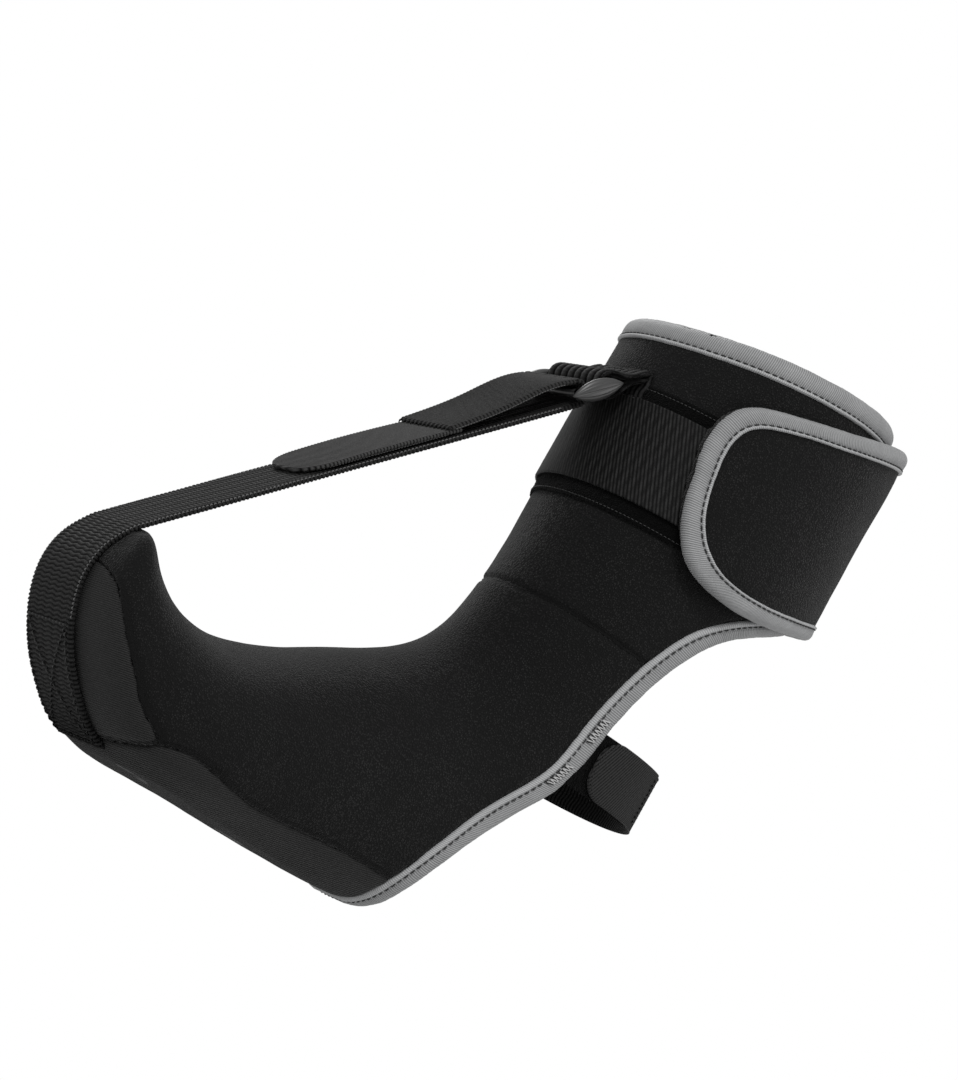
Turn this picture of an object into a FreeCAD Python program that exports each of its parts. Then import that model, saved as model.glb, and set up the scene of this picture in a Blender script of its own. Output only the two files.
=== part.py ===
import FreeCAD, Part
import math
import os
import Sketcher
from FreeCAD import Placement, Rotation, Vector

# Ankle foot orthosis: a soft neoprene boot that holds the foot up against the shin, with an open
# heel, a wrap-round cuff, an elastic strap, a toe strap that turns round a ring, and a heel strap.
#
# Working frame, in millimetres: X runs forward to the toes, Y to the wearer's side that carries the
# closing flap, Z up from the flat of the sole. Each sub-part's Placement then moves it so that the
# origin is the bottom centre of the whole object's box.

doc = FreeCAD.newDocument("AnkleFootOrthosis")

# ---------------------------------------------------------------- driving dimensions
DRIVING = {
    "origin_x": 57.4, "origin_y": 4.1,            # bottom centre of the whole box, in the working frame
    "neoprene": 4.5,                              # boot wall
    "bind_wide": 9.0, "bind_thick": 0.8,          # edge binding: width, and cloth thickness
    "leg_x": -15.5, "leg_rx": 56.0, "leg_ry": 50.0,     # the cuff's outer ellipse
    "wing_out": 8.5,                              # how far the flap stands outside the cuff
    "wing_end_y": 13.0,                           # where the near wing ends under the flap
    "clear": 0.3,                                 # gap between parts that move on each other
    "web_wide": 38.0, "web_thick": 1.8,           # toe strap webbing
    "bar_rad": 1.7, "turn_rad": 3.4,              # ring bar, and the inside of the webbing's turn
    "bar_gap": 14.4,                              # from bar to bar
    "bar_x": 62.5, "bar_z": 201.3,                # the ring's front bar
    "rail_long": 22.0, "rail_high": 8.0, "ring_in": 40.0, "ring_out": 47.0,
    "fold_long": 54.0, "tab_long": 59.0, "tab_thick": 1.4,  # fold-back, then its hook tab
    "peel_gap": 0.35,                             # between the fold-back and the run under it
    "anchor_x": 37.0, "anchor_z": 224.5,          # where the anchor's two layers meet on the cuff
    "loop_low": 170.0, "loop_wide": 50.0, "loop_in": 0.1, "loop_out": 1.2,
    "band_low": 177.0, "band_wide": 37.0, "band_in": 1.6, "band_out": 2.8,
    "band_front": 68.4, "band_tip": -40.0, "hook_tip": -72.0,   # angles round the cuff's ellipse
    "hook_out": 3.2, "patch_in": 1.5, "patch_out": 2.6, "root_in": 2.7, "root_out": 3.9,
    "root_start": 69.0, "root_end": 94.0,
    "heel_x": -8.0, "heel_rx": 46.0, "heel_ry": 38.6, "heel_low": 76.5, "heel_wide": 23.5,
    "heel_web": 1.5, "heel_hook": 1.5,
}
sheet = doc.addObject("Spreadsheet::Sheet", "dimensions")
for row, (alias, number) in enumerate(DRIVING.items(), start=1):
    sheet.set(f"A{row}", alias)
    sheet.set(f"B{row}", str(number))
    sheet.setAlias(f"B{row}", alias)
doc.recompute()


def dim(alias):
    return float(sheet.get(alias))


# Cross-sections of the boot's outside, from the toe tip to above the cuff. Each is the ends of the
# section's middle line (dorsal x, z, then plantar or rear x, z), the half width, and how square the
# plantar half is: 2 is an ellipse, and more is squarer.
SECTIONS = [
    (184, 71, 188, 69, 24, 2.2),
    (179, 73, 191.5, 61, 29, 2.3),
    (173, 67.6, 193.5, 50, 34, 2.4),
    (166, 62, 189.5, 35, 38, 2.5),
    (156.5, 57.5, 179.5, 20, 41.5, 2.7),
    (144, 55.5, 163, 6, 45, 3.4),
    (132, 56.5, 140, -1, 46.5, 3.8),
    (114, 62.5, 113, -1, 45, 3.3),
    (90.5, 74.8, 80, -1, 42, 2.8),
    (67.5, 88.2, 38, 0.7, 39.5, 2.7),
    (53, 102, -8, 10, 38, 2.5),
    (43, 134.5, -52, 85, 42, 2.2),
    (41, 149.5, -63.5, 129, 47, 2.0),
]
LEG_HEIGHTS = (164, 177, 190, 205, 220, 245, 275)
CUFF_START = 10       # the first section whose rear end stands out where the wing carries the flap
CAVITY_START = 2      # the cavity starts behind the closed toe tip
HALF_POINTS = 17      # points round half of a section


def all_sections():
    front, rear = dim("leg_x") + dim("leg_rx"), dim("leg_x") - dim("leg_rx")
    leg = [(front, height, rear, height, dim("leg_ry"), 2.0) for height in LEG_HEIGHTS]
    return SECTIONS + leg


def half_section(row, offset, rear_out, side):
    """Points round one side of a section, moved outwards by offset, and its rear by rear_out more."""
    top, low = Vector(row[0], 0, row[1]), Vector(row[2] - rear_out, 0, row[3])
    half_long, half_wide = (top - low).Length / 2 + offset, row[4] + offset
    centre, along = (top + low) * 0.5, (top - low).normalize()
    points = []
    for step in range(HALF_POINTS):
        angle = math.pi * step / (HALF_POINTS - 1)
        power = 2 / (2.0 if 2 * step < HALF_POINTS else row[5])
        up = math.copysign(abs(round(math.cos(angle), 9)) ** power, math.cos(angle))
        out = abs(round(math.sin(angle), 9)) ** power
        points.append(centre + along * (half_long * up) + Vector(0, side * half_wide * out, 0))
    return points


def boot_form(offset=0.0, rear_out=0.0, first=0):
    """The boot's outer form as a solid: one smooth face for each side, and a flat face at each end."""
    halves, ends = [], ([], [])
    for side in (1, -1):
        surface = Part.BSplineSurface()
        rows = [half_section(row, offset, rear_out if index >= CUFF_START else 0, side)
                for index, row in enumerate(all_sections()) if index >= first]
        surface.interpolate(rows)
        start, stop = surface.bounds()[:2]
        ends[0].append(surface.uIso(start).toShape())
        ends[1].append(surface.uIso(stop).toShape())
        halves.append(surface.toShape())
    caps = [Part.Face(Part.Wire(Part.__sortEdges__(edges))) for edges in ends]
    shell = Part.makeShell(halves + caps)
    shell.sewShape()
    form = Part.Solid(shell)
    if form.Volume < 0:
        form.reverse()
    return form


# ---------------------------------------------------------------- side-view outlines
HALF_SPAN = 100.0     # outlines are cut through everything from -HALF_SPAN to HALF_SPAN in Y
BIG = 400.0           # further than any part reaches

HEEL_EDGE = [(31, -12), (30.5, 8), (22, 34), (7, 60), (-3.5, 78), (-7, 98), (-11.5, 122),
             (-24, 147), (-45, 162), (-92, 183)]
HEEL_EDGE_IN = [(40, -12), (39.5, 10), (32, 32), (19.5, 57), (7, 77), (3, 98), (-2, 122),
                (-14, 149), (-42, 168.5), (-92, 192)]
TOP_EDGE = [(60, 245), (41, 246.5), (20, 250), (-6, 254), (-48, 259), (-95, 262)]
FLAP_EDGE = [(-95, 262), (-66, 254.5), (-24, 241), (6, 232), (18, 225.5), (22.5, 213), (21, 196),
             (17, 179), (7, 165.5), (-8, 161.5), (-37, 164), (-59, 170), (-95, 181)]
FLAP_EDGE_IN = [(-95, 254), (-65, 246.5), (-24, 234), (2, 226), (11.5, 220.5), (15, 211.5), (14, 197),
                (10.5, 183), (2, 172.5), (-9, 168.5), (-37, 171), (-58, 176.5), (-95, 188)]
CROSS_SEAM = [(60, 132.5), (-40, 125.5)]
SOLE_SEAM = [(20, 14.5), (65, 14), (117, 11.5), (150, 11), (156, 7.5), (163, 4.5), (175, -8)]
TOE_SEAM = [(163, -8), (158, 5), (151, 11), (160, 18), (168, 26), (176, 35), (185, 47), (192, 56),
            (204, 66)]
BOARD_FRONT, BOARD_REAR, BOARD_TOP = 138.0, 46.0, 5.8
INSOLE_TOP = [(44, 9.8), (100, 9.8), (130, 10.3), (148, 14.5), (163, 24), (172, 38), (174, 50)]


def xz(point, y=0.0):
    return Vector(point[0], y, point[1])


def curve_edge(points, y=-HALF_SPAN):
    """A smooth edge through side-view points, or a straight one through two."""
    if len(points) == 2:
        return Part.LineSegment(xz(points[0], y), xz(points[1], y)).toShape()
    curve = Part.BSplineCurve()
    curve.interpolate([xz(point, y) for point in points])
    return curve.toShape()


def region(points, corners=()):
    """The solid between a smooth edge and the straight lines through corners, right across Y."""
    closing = [points[-1], *corners, points[0]]
    lines = [Part.LineSegment(xz(a, -HALF_SPAN), xz(b, -HALF_SPAN)).toShape()
             for a, b in zip(closing, closing[1:])]
    face = Part.Face(Part.Wire([curve_edge(points), *lines]))
    return face.extrude(Vector(0, 2 * HALF_SPAN, 0))


def beyond(edge, height):
    """The solid from an edge that runs across X, carried on level at both ends, to a far height."""
    far = math.copysign(BIG, edge[-1][0] - edge[0][0])
    return region(edge, [(far, edge[-1][1]), (far, height), (-far, height), (-far, edge[0][1])])


def under(edge):
    return beyond(edge, -BIG)


def over(edge):
    return beyond(edge, BIG)


def in_front_of_heel(edge):
    return region(edge, [(-BIG, edge[-1][1]), (-BIG, BIG), (BIG, BIG), (BIG, edge[0][1])])


def between(outer, inner, share):
    return [(a + (c - a) * share, b + (d - b) * share) for (a, b), (c, d) in zip(outer, inner)]


def block(low, high):
    size = Vector(*high) - Vector(*low)
    return Part.makeBox(size.x, size.y, size.z, Vector(*low))


def whole(shape):
    """The shape's solids with their leftover seam edges merged: one solid, or a group of them."""
    clean = shape.removeSplitter()
    return clean.Solids[0] if len(clean.Solids) == 1 else Part.makeCompound(clean.Solids)


# ---------------------------------------------------------------- placing the sub-parts
SUB_PARTS = []
ORIGIN = Vector(dim("origin_x"), dim("origin_y"), 0)


def place(sub_part, name, at=None, turn=None):
    """Label a sub-part with its node's name, and move it into the finished frame."""
    sub_part.Label = name
    sub_part.Placement = Placement((at or Vector()) - ORIGIN, turn or Rotation())
    SUB_PARTS.append(sub_part)


def add_shape(name, shape):
    feature = doc.addObject("Part::Feature", name + "_shape")
    feature.Shape = whole(shape)
    place(feature, name)


# ---------------------------------------------------------------- neoprene boot
wall, cloth, half_clear = dim("neoprene"), dim("bind_thick"), dim("clear") / 2
FOLD_SHARE = 0.12     # how far into the binding's width the neoprene's own edge lies

ground = block((-BIG, -BIG, -BIG), (BIG, BIG, 0))
outside = boot_form()
boot_wall = outside.cut(boot_form(-wall, first=CAVITY_START)).cut(ground)

heel_cut = in_front_of_heel(between(HEEL_EDGE, HEEL_EDGE_IN, FOLD_SHARE))
top_edge_in = [(x, z - dim("bind_wide")) for x, z in TOP_EDGE]
top_cut = under(between(TOP_EDGE, top_edge_in, FOLD_SHARE))
toe_zone = region(TOE_SEAM, [(BIG, TOE_SEAM[-1][1]), (BIG, TOE_SEAM[0][1])])
sole_zone = under(SOLE_SEAM)
far_rear = block((-BIG, -BIG, 0), (dim("leg_x"), dim("wing_end_y"), BIG))

boot_panels = boot_wall.common(heel_cut)
foot_part = boot_panels.common(under(CROSS_SEAM))
cuff_panel = boot_panels.common(over(CROSS_SEAM)).common(top_cut).cut(far_rear)
add_shape("toe_gusset", foot_part.common(toe_zone))
add_shape("sole_cover", foot_part.common(sole_zone).cut(toe_zone))
add_shape("foot_upper", foot_part.cut(toe_zone).cut(sole_zone))
add_shape("cuff_panel", cuff_panel)

# Edge bindings: cloth round the outside, the edge and the inside of the neoprene.
bound_wall = boot_form(cloth).cut(boot_form(-wall - cloth, first=CAVITY_START)).cut(ground)
heel_band = in_front_of_heel(HEEL_EDGE).cut(in_front_of_heel(HEEL_EDGE_IN))
top_band = under(TOP_EDGE).cut(under(top_edge_in))
add_shape("heel_binding", bound_wall.common(heel_band).cut(boot_panels).cut(far_rear))
add_shape("top_binding", bound_wall.common(top_band).cut(cuff_panel).cut(far_rear))

# ---------------------------------------------------------------- far wing and flap
wing_out = dim("wing_out")


def cuff_wall(outer, inner, rear_out=0.0):
    """A wall round the leg between two offsets of the cuff's form."""
    return boot_form(outer, rear_out).cut(boot_form(inner, rear_out, CAVITY_START))


wing_zone = block((-BIG, -BIG, 0), (dim("leg_x"), -half_clear, BIG))
near_zone = block((-BIG, half_clear, 0), (BIG, BIG, BIG))

rear_wing = cuff_wall(0, -wall, wing_out).common(wing_zone).common(heel_cut).common(top_cut)
add_shape("rear_wing", rear_wing)
wing_bound = cuff_wall(cloth, -wall - cloth, wing_out).common(wing_zone).cut(rear_wing)
add_shape("rear_wing_binding", wing_bound.common(heel_band.fuse(top_band)))

flap_cut = region(between(FLAP_EDGE, FLAP_EDGE_IN, FOLD_SHARE))
flap_panel = cuff_wall(wing_out, wing_out - wall).common(near_zone).common(flap_cut)
add_shape("flap_panel", flap_panel)
flap_band = region(FLAP_EDGE).cut(region(FLAP_EDGE_IN))
flap_bound = cuff_wall(wing_out + cloth, wing_out - wall - cloth).common(near_zone)
add_shape("flap_binding", flap_bound.common(flap_band).cut(flap_panel))

# ---------------------------------------------------------------- inside the sole
foot_space = boot_form(-wall - 0.1, first=CAVITY_START)
under_board_top = block((-BIG, -BIG, 0), (BOARD_FRONT, BIG, BOARD_TOP))
board_room = block((BOARD_REAR, -BIG, 0), (BOARD_FRONT, BIG, BOARD_TOP))
insole_room = under(INSOLE_TOP).common(block((BOARD_REAR, -BIG, 0), (BIG, BIG, BIG)))
add_shape("sole_board", foot_space.common(board_room))
add_shape("insole", foot_space.common(insole_room).cut(under_board_top))


# ---------------------------------------------------------------- bands round the leg
def add_body(name):
    return doc.addObject("PartDesign::Body", name + "_body")


def plane_of(body, role):
    return next(item for item in body.Origin.OriginFeatures if item.Role == role)


def add_sketch(body, name, geometry, role):
    sketch = body.newObject("Sketcher::SketchObject", name)
    sketch.AttachmentSupport = (plane_of(body, role), [""])
    sketch.MapMode = "FlatFace"
    for index, item in enumerate(geometry):
        sketch.addGeometry(item, False)
        sketch.addConstraint(Sketcher.Constraint("Block", index))
    return sketch


def closed_lines(points):
    """Sketch lines round a polygon given as sketch coordinates."""
    corners = [Vector(x, y, 0) for x, y in points]
    return [Part.LineSegment(a, b) for a, b in zip(corners, corners[1:] + corners[:1])]


def band_geometry(centre_x, rx, ry, inner, outer, start, end):
    """A band's plan: two arcs of nested ellipses and the straight ends that join them."""
    arcs = []
    for offset in (outer, inner):
        ellipse = Part.Ellipse(Vector(centre_x, 0, 0), rx + offset, ry + offset)
        arcs.append(Part.ArcOfEllipse(ellipse, math.radians(start), math.radians(end)))
    ends = [Part.LineSegment(arcs[0].EndPoint, arcs[1].EndPoint),
            Part.LineSegment(arcs[1].StartPoint, arcs[0].StartPoint)]
    return arcs + ends


def add_band(name, plan, low, height):
    """A band padded up from the height in the cell named low, by the one in the cell named height."""
    body = add_body(name)
    sketch = add_sketch(body, name + "_plan", plan, "XY_Plane")
    sketch.setExpression("AttachmentOffset.Base.z", low)
    pad = body.newObject("PartDesign::Pad", name + "_pad")
    pad.Profile = sketch
    pad.setExpression("Length", height)
    doc.recompute()
    return body, pad


def round_corners(body, base, chosen, radius):
    """Round the edges of base that chosen accepts by their middle point."""
    names = [f"Edge{number}" for number, edge in enumerate(base.Shape.Edges, start=1)
             if chosen(edge, edge.CenterOfMass)]
    fillet = body.newObject("PartDesign::Fillet", base.Name + "_round")
    fillet.Base = (base, names)
    fillet.Radius = radius
    doc.recompute()
    return fillet


def leg_band(inner, outer, start, end):
    return band_geometry(dim("leg_x"), dim("leg_rx"), dim("leg_ry"), dim(inner), dim(outer), start, end)


LOOP_START, LOOP_END = -88.0, 100.0     # angles round the cuff
body, _ = add_band("loop_strip", leg_band("loop_in", "loop_out", LOOP_START, LOOP_END),
                   "dimensions.loop_low", "dimensions.loop_wide")
place(body, "loop_strip")
body, _ = add_band("elastic_strap", leg_band("band_in", "band_out", dim("band_tip"), dim("band_front")),
                   "dimensions.band_low", "dimensions.band_wide")
place(body, "elastic_strap")
body, _ = add_band("elastic_root", leg_band("root_in", "root_out", dim("root_start"), dim("root_end")),
                   "dimensions.band_low", "dimensions.band_wide")
place(body, "elastic_root")
body, _ = add_band("flap_hook_patch", leg_band("patch_in", "patch_out", dim("root_start"), dim("root_end")),
                   "dimensions.band_low + 1", "dimensions.band_wide - 2")
place(body, "flap_hook_patch")

HOOK_GAP = 0.4        # degrees between the elastic's end and its hook tab
TAB_ROUND = 9.0
hook_plan = leg_band("band_in", "hook_out", dim("hook_tip"), dim("band_tip") - HOOK_GAP)
body, pad = add_band("elastic_hook_tab", hook_plan, "dimensions.band_low", "dimensions.band_wide")
hook_end = dim("leg_x") + (dim("leg_rx") + dim("hook_out")) * math.cos(math.radians(dim("hook_tip")))
round_corners(body, pad, lambda edge, at: edge.Length < 2 and at.x < hook_end + 2, TAB_ROUND)
place(body, "elastic_hook_tab")

# ---------------------------------------------------------------- heel strap
heel_plan = (dim("heel_x"), dim("heel_rx"), dim("heel_ry"))
HEEL_TAB_START, HEEL_TAB_END = 93.5, 134.0       # the hook tab, in degrees round the heel strap
NEAR_END, LOOP_TAB_END = 129.0, 128.0
SLIT = math.degrees(half_clear / dim("heel_ry"))  # half the gap at the back, as an angle
web, hook = dim("heel_web"), dim("heel_hook")

body, _ = add_band("heel_strap_near", band_geometry(*heel_plan, 0, web, NEAR_END, 180 - SLIT),
                   "dimensions.heel_low", "dimensions.heel_wide")
place(body, "heel_strap_near")
tab_plan = band_geometry(*heel_plan, web + 0.1, web + 0.1 + hook, HEEL_TAB_START, HEEL_TAB_END)
body, pad = add_band("heel_hook_tab", tab_plan, "dimensions.heel_low", "dimensions.heel_wide")
tab_front = pad.Shape.BoundBox.XMax - 2.0
round_corners(body, pad, lambda edge, at: edge.Length < 2 and at.x > tab_front, TAB_ROUND)
place(body, "heel_hook_tab")


def heel_band_solid(inner, outer, start, end):
    """A static piece of the heel strap, cut off where it meets the binding of the heel opening."""
    edges = [item.toShape() for item in band_geometry(*heel_plan, inner, outer, start, end)]
    face = Part.Face(Part.Wire(Part.__sortEdges__(edges)))
    face.translate(Vector(0, 0, dim("heel_low")))
    return face.extrude(Vector(0, 0, dim("heel_wide"))).cut(in_front_of_heel(HEEL_EDGE))


add_shape("heel_strap_far", heel_band_solid(0, web, -180 + SLIT, -75))
add_shape("heel_loop_tab", heel_band_solid(0, web - 0.3, 75, LOOP_TAB_END))

# ---------------------------------------------------------------- toe strap, ring and anchor
thick, turn = dim("web_thick"), dim("turn_rad")
mid_turn = turn + thick / 2
front_bar = Vector(dim("bar_x"), 0, dim("bar_z"))

# The middle of the webbing, sewn up the toe, and the point where it leaves the toe for the ring.
TOE_PATH = [(155.5, 1.6), (163.6, 4.9), (172.6, 11.4), (180.6, 19.1), (190.8, 34.5), (194.8, 49.9),
            (192.9, 61.3)]
LEAVE = (186.6, 71.9)

to_toe = xz(LEAVE) - front_bar
slope = math.atan2(to_toe.z, to_toe.x) + math.asin(mid_turn / to_toe.Length)
along = Vector(math.cos(slope), 0, math.sin(slope))       # down the strap, from the ring to the toe
above = Vector(-math.sin(slope), 0, math.cos(slope))      # outwards from the strap
strap_turn = Rotation(Vector(0, 1, 0), -math.degrees(slope))

toe_run = Part.BSplineCurve()
toe_run.interpolate(Points=[xz(point) for point in [*TOE_PATH, LEAVE]],
                    InitialTangent=Vector(0.93, 0, 0.36), FinalTangent=along * -1)
straight = Part.LineSegment(xz(LEAVE), front_bar - above * mid_turn)
bend = Part.Arc(front_bar - above * mid_turn, front_bar - along * mid_turn, front_bar + above * mid_turn)
spine = Part.Wire([toe_run.toShape(), straight.toShape(), bend.toShape()])
half_web = dim("web_wide") / 2
start = xz(TOE_PATH[0])
first_way = toe_run.tangent(toe_run.FirstParameter)[0]
first_up = Vector(-first_way.z, 0, first_way.x) * (thick / 2)
section = Part.makePolygon([start + up + Vector(0, side, 0) for up, side in (
    (first_up, half_web), (first_up, -half_web), (first_up * -1, -half_web),
    (first_up * -1, half_web), (first_up, half_web))])
ribbon = spine.makePipeShell([section], True, False)
add_shape("toe_strap", ribbon.cut(outside).cut(ground))

# The fold-back and its hook tab are drawn with the sketch's x down the strap, and y outwards.
run_top = -mid_turn + thick / 2 + dim("peel_gap")
fold_start, fold_end = dim("clear"), dim("fold_long")
fold_side = [(fold_start, mid_turn - thick / 2), (fold_end, run_top),
             (fold_end, run_top + thick), (fold_start, mid_turn + thick / 2)]


def add_across(name, geometry, width):
    """A body padded equally to both sides of the strap's middle."""
    body = add_body(name)
    pad = body.newObject("PartDesign::Pad", name + "_pad")
    pad.Profile = add_sketch(body, name + "_side", geometry, "XZ_Plane")
    pad.setExpression("Length", width)
    pad.SideType = "Symmetric"
    doc.recompute()
    return body, pad


body, _ = add_across("strap_tail", closed_lines(fold_side), "dimensions.web_wide")
place(body, "strap_tail", front_bar, strap_turn)

tab_end = fold_end + dim("tab_long")
tab_side = [(fold_end, run_top), (tab_end, run_top), (tab_end, run_top + dim("tab_thick")),
            (fold_end, run_top + dim("tab_thick"))]
body, pad = add_across("strap_hook_tab", closed_lines(tab_side), "dimensions.web_wide")
round_corners(body, pad, lambda edge, at: edge.Length < 2 and at.x > tab_end - 1, 14.0)
place(body, "strap_hook_tab", front_bar, strap_turn)

# The ring: a lens-shaped rail at each side, and two round bars between them.
rail_half, rail_rise = dim("rail_long") / 2, dim("rail_high") / 2
gap = dim("bar_gap")
rail_ends = (-gap / 2 - rail_half, -gap / 2 + rail_half)
lens = [Part.Arc(Vector(rail_ends[0], 0, 0), Vector(-gap / 2, rise, 0), Vector(rail_ends[1], 0, 0))
        for rise in (rail_rise, -rail_rise)]
body, pad = add_across("pull_ring", lens, "dimensions.ring_out")
inner_box = closed_lines([(rail_ends[0] - 2, -rail_rise - 2), (rail_ends[1] + 2, -rail_rise - 2),
                          (rail_ends[1] + 2, rail_rise + 2), (rail_ends[0] - 2, rail_rise + 2)])
bars = [Part.Circle(Vector(x, 0, 0), Vector(0, 0, 1), dim("bar_rad")) for x in (0, -gap)]
window = body.newObject("PartDesign::Pocket", "pull_ring_window")
window.Profile = add_sketch(body, "pull_ring_window_side", inner_box + bars, "XZ_Plane")
window.setExpression("Length", "dimensions.ring_in")
window.SideType = "Symmetric"
doc.recompute()
place(body, "pull_ring", front_bar, strap_turn)

# The anchor: webbing round the rear bar, its two layers meeting on the cuff.
rear_bar = front_bar - along * gap
root = Vector(dim("anchor_x"), 0, dim("anchor_z"))


def teardrop(centre, radius, tip):
    """A closed loop, in side-view coordinates: two tangents from tip, and the far arc of a circle."""
    away = centre - tip
    lean = math.acos(radius / away.Length)
    back = math.atan2(-away.z, -away.x)
    touch = [centre + Vector(math.cos(back + s * lean), 0, math.sin(back + s * lean)) * radius
             for s in (1, -1)]
    far = centre + Vector(math.cos(back + math.pi), 0, math.sin(back + math.pi)) * radius
    flat = [Vector(point.x, point.z, 0) for point in (tip, touch[0], far, touch[1])]
    return [Part.LineSegment(flat[0], flat[1]), Part.Arc(flat[1], flat[2], flat[3]),
            Part.LineSegment(flat[3], flat[0])]


LOOP_THROAT = 0.52    # how far back from the rear bar to the cuff the anchor's eye reaches
eye_tip = rear_bar + (root - rear_bar) * LOOP_THROAT
anchor_side = teardrop(rear_bar, turn + thick, root) + teardrop(rear_bar, turn, eye_tip)
body, pad = add_across("ring_anchor", anchor_side, "dimensions.web_wide")
seat = Part.Ellipse(Vector(dim("leg_x"), 0, 0), dim("leg_rx") + dim("loop_out"),
                    dim("leg_ry") + dim("loop_out"))
trim = body.newObject("PartDesign::Pocket", "ring_anchor_seat")
trim.Profile = add_sketch(body, "ring_anchor_seat_plan", [seat], "XY_Plane")
trim.SideType = "Symmetric"
trim.Length = 2 * BIG
doc.recompute()
place(body, "ring_anchor")

# ---------------------------------------------------------------- checks and files
doc.recompute()
for item in doc.Objects:
    if "Invalid" in item.State or "Error" in item.State:
        raise RuntimeError(f"{item.Label} did not recompute: {item.State}")

os.makedirs("parts", exist_ok=True)
box = FreeCAD.BoundBox()
for sub_part in SUB_PARTS:
    shape = sub_part.Shape
    if shape.isNull() or not shape.isValid() or not shape.Solids:
        raise RuntimeError(f"{sub_part.Label} has no valid solid")
    box.add(shape.BoundBox)
    print(f"{sub_part.Label}: {len(shape.Solids)} solid(s), {shape.Volume:.0f} mm3")
for sub_part in SUB_PARTS:
    sub_part.Shape.exportStep(os.path.join("parts", sub_part.Label + ".step"))
print(f"slope {math.degrees(slope):.3f} degrees, whole box {box}")
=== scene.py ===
import math

import bpy
import numpy as np
from mathutils import Matrix, Vector, noise
from mathutils.bvhtree import BVHTree


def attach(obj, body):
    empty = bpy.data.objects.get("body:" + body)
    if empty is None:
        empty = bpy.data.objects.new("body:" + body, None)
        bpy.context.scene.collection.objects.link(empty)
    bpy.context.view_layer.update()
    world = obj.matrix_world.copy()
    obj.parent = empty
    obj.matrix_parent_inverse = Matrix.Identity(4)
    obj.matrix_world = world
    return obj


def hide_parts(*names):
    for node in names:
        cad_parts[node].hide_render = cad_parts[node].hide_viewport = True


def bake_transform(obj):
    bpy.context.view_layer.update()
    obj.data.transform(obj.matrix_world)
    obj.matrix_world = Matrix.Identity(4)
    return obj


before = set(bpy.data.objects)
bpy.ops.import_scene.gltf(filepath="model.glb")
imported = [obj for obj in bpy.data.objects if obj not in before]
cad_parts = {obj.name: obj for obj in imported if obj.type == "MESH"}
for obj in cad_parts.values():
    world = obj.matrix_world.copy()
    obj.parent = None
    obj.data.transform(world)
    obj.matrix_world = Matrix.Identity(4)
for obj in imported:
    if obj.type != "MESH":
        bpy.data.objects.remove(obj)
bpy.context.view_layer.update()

# Shapes are worked out in the working frame of the part's outlines, in millimetres: X to the toes, Y to
# the side with the closing flap, Z up from the sole. to_row() takes them to the row frame, in metres.
MM = 0.001
ORIGIN = np.array([57.4, 4.1, 0.0])

# ---- outlines that the part's source gives
HEEL_EDGE = [(31, -12), (30.5, 8), (22, 34), (7, 60), (-3.5, 78), (-7, 98), (-11.5, 122),
             (-24, 147), (-45, 162), (-92, 183)]
HEEL_EDGE_IN = [(40, -12), (39.5, 10), (32, 32), (19.5, 57), (7, 77), (3, 98), (-2, 122),
                (-14, 149), (-42, 168.5), (-92, 192)]
TOP_EDGE = [(60, 245), (41, 246.5), (20, 250), (-6, 254), (-48, 259), (-95, 262)]
FLAP_EDGE = [(-95, 262), (-66, 254.5), (-24, 241), (6, 232), (18, 225.5), (22.5, 213), (21, 196),
             (17, 179), (7, 165.5), (-8, 161.5), (-37, 164), (-59, 170), (-95, 181)]
FLAP_EDGE_IN = [(-95, 254), (-65, 246.5), (-24, 234), (2, 226), (11.5, 220.5), (15, 211.5), (14, 197),
                (10.5, 183), (2, 172.5), (-9, 168.5), (-37, 171), (-58, 176.5), (-95, 188)]
CROSS_SEAM = [(60, 132.5), (10, 129.6), (-40, 125.5)]
SOLE_SEAM = [(20, 14.5), (65, 14), (117, 11.5), (150, 11), (156, 7.5), (163, 4.5), (175, -8)]
TOE_SEAM = [(163, -8), (158, 5), (151, 11), (160, 18), (168, 26), (176, 35), (185, 47), (192, 56),
            (204, 66)]
TOE_PATH = [(155.5, 1.6), (163.6, 4.9), (172.6, 11.4), (180.6, 19.1), (190.8, 34.5), (194.8, 49.9),
            (192.9, 61.3), (186.6, 71.9)]

WALL, CLOTH = 4.5, 0.8  # neoprene, and the cloth of its edge binding
BIND_WIDE = 9.0
CUFF = (-15.5, 56.0, 50.0)  # the cuff's outer ellipse: centre x, and half axes
FLAP_FORM = (-15.5, 64.5, 58.5)
WING_FORM = (-19.75, 60.25, 50.0)
BACK_X = -80.0  # where the wing turns into the flap
WING_START = -15.5
NEAR_BINDING_END = 18.0  # the y at which the heel binding's near end stops, under the flap
WEB_HALF, WEB_THICK = 19.0, 1.8
TURN = 4.3  # from a bar's middle to the middle of the webbing round it
FRONT_BAR = (62.5, 201.3)
BAR_GAP, BAR_RADIUS = 14.4, 1.7
FOLD_LONG, TAB_LONG, PEEL_GAP = 54.0, 59.0, 0.35
RAIL_IN, RAIL_OUT, RAIL_LONG, RAIL_HIGH = 20.0, 23.5, 22.0, 8.0
ANCHOR_ROOT = (37.0, 224.5)
ANCHOR_THROAT = 0.55  # how far from the rear bar to the cuff the anchor's eye reaches
BAND_LOW, BAND_WIDE = 177.0, 37.0  # elastic band
LOOP_LOW, LOOP_WIDE = 170.0, 50.0  # loop tape round the cuff
HEEL_BAND = (-8.0, 46.0, 38.6)  # heel strap's inner ellipse
HEEL_LOW, HEEL_WIDE = 76.5, 23.5


def to_row(points):
    return (np.asarray(points, float) - ORIGIN) * MM


def to_work(points):
    return np.asarray(points, float) / MM + ORIGIN


# ---- curves
def unit(vectors):
    return vectors / np.maximum(np.linalg.norm(vectors, axis=-1, keepdims=True), 1e-12)


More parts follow.
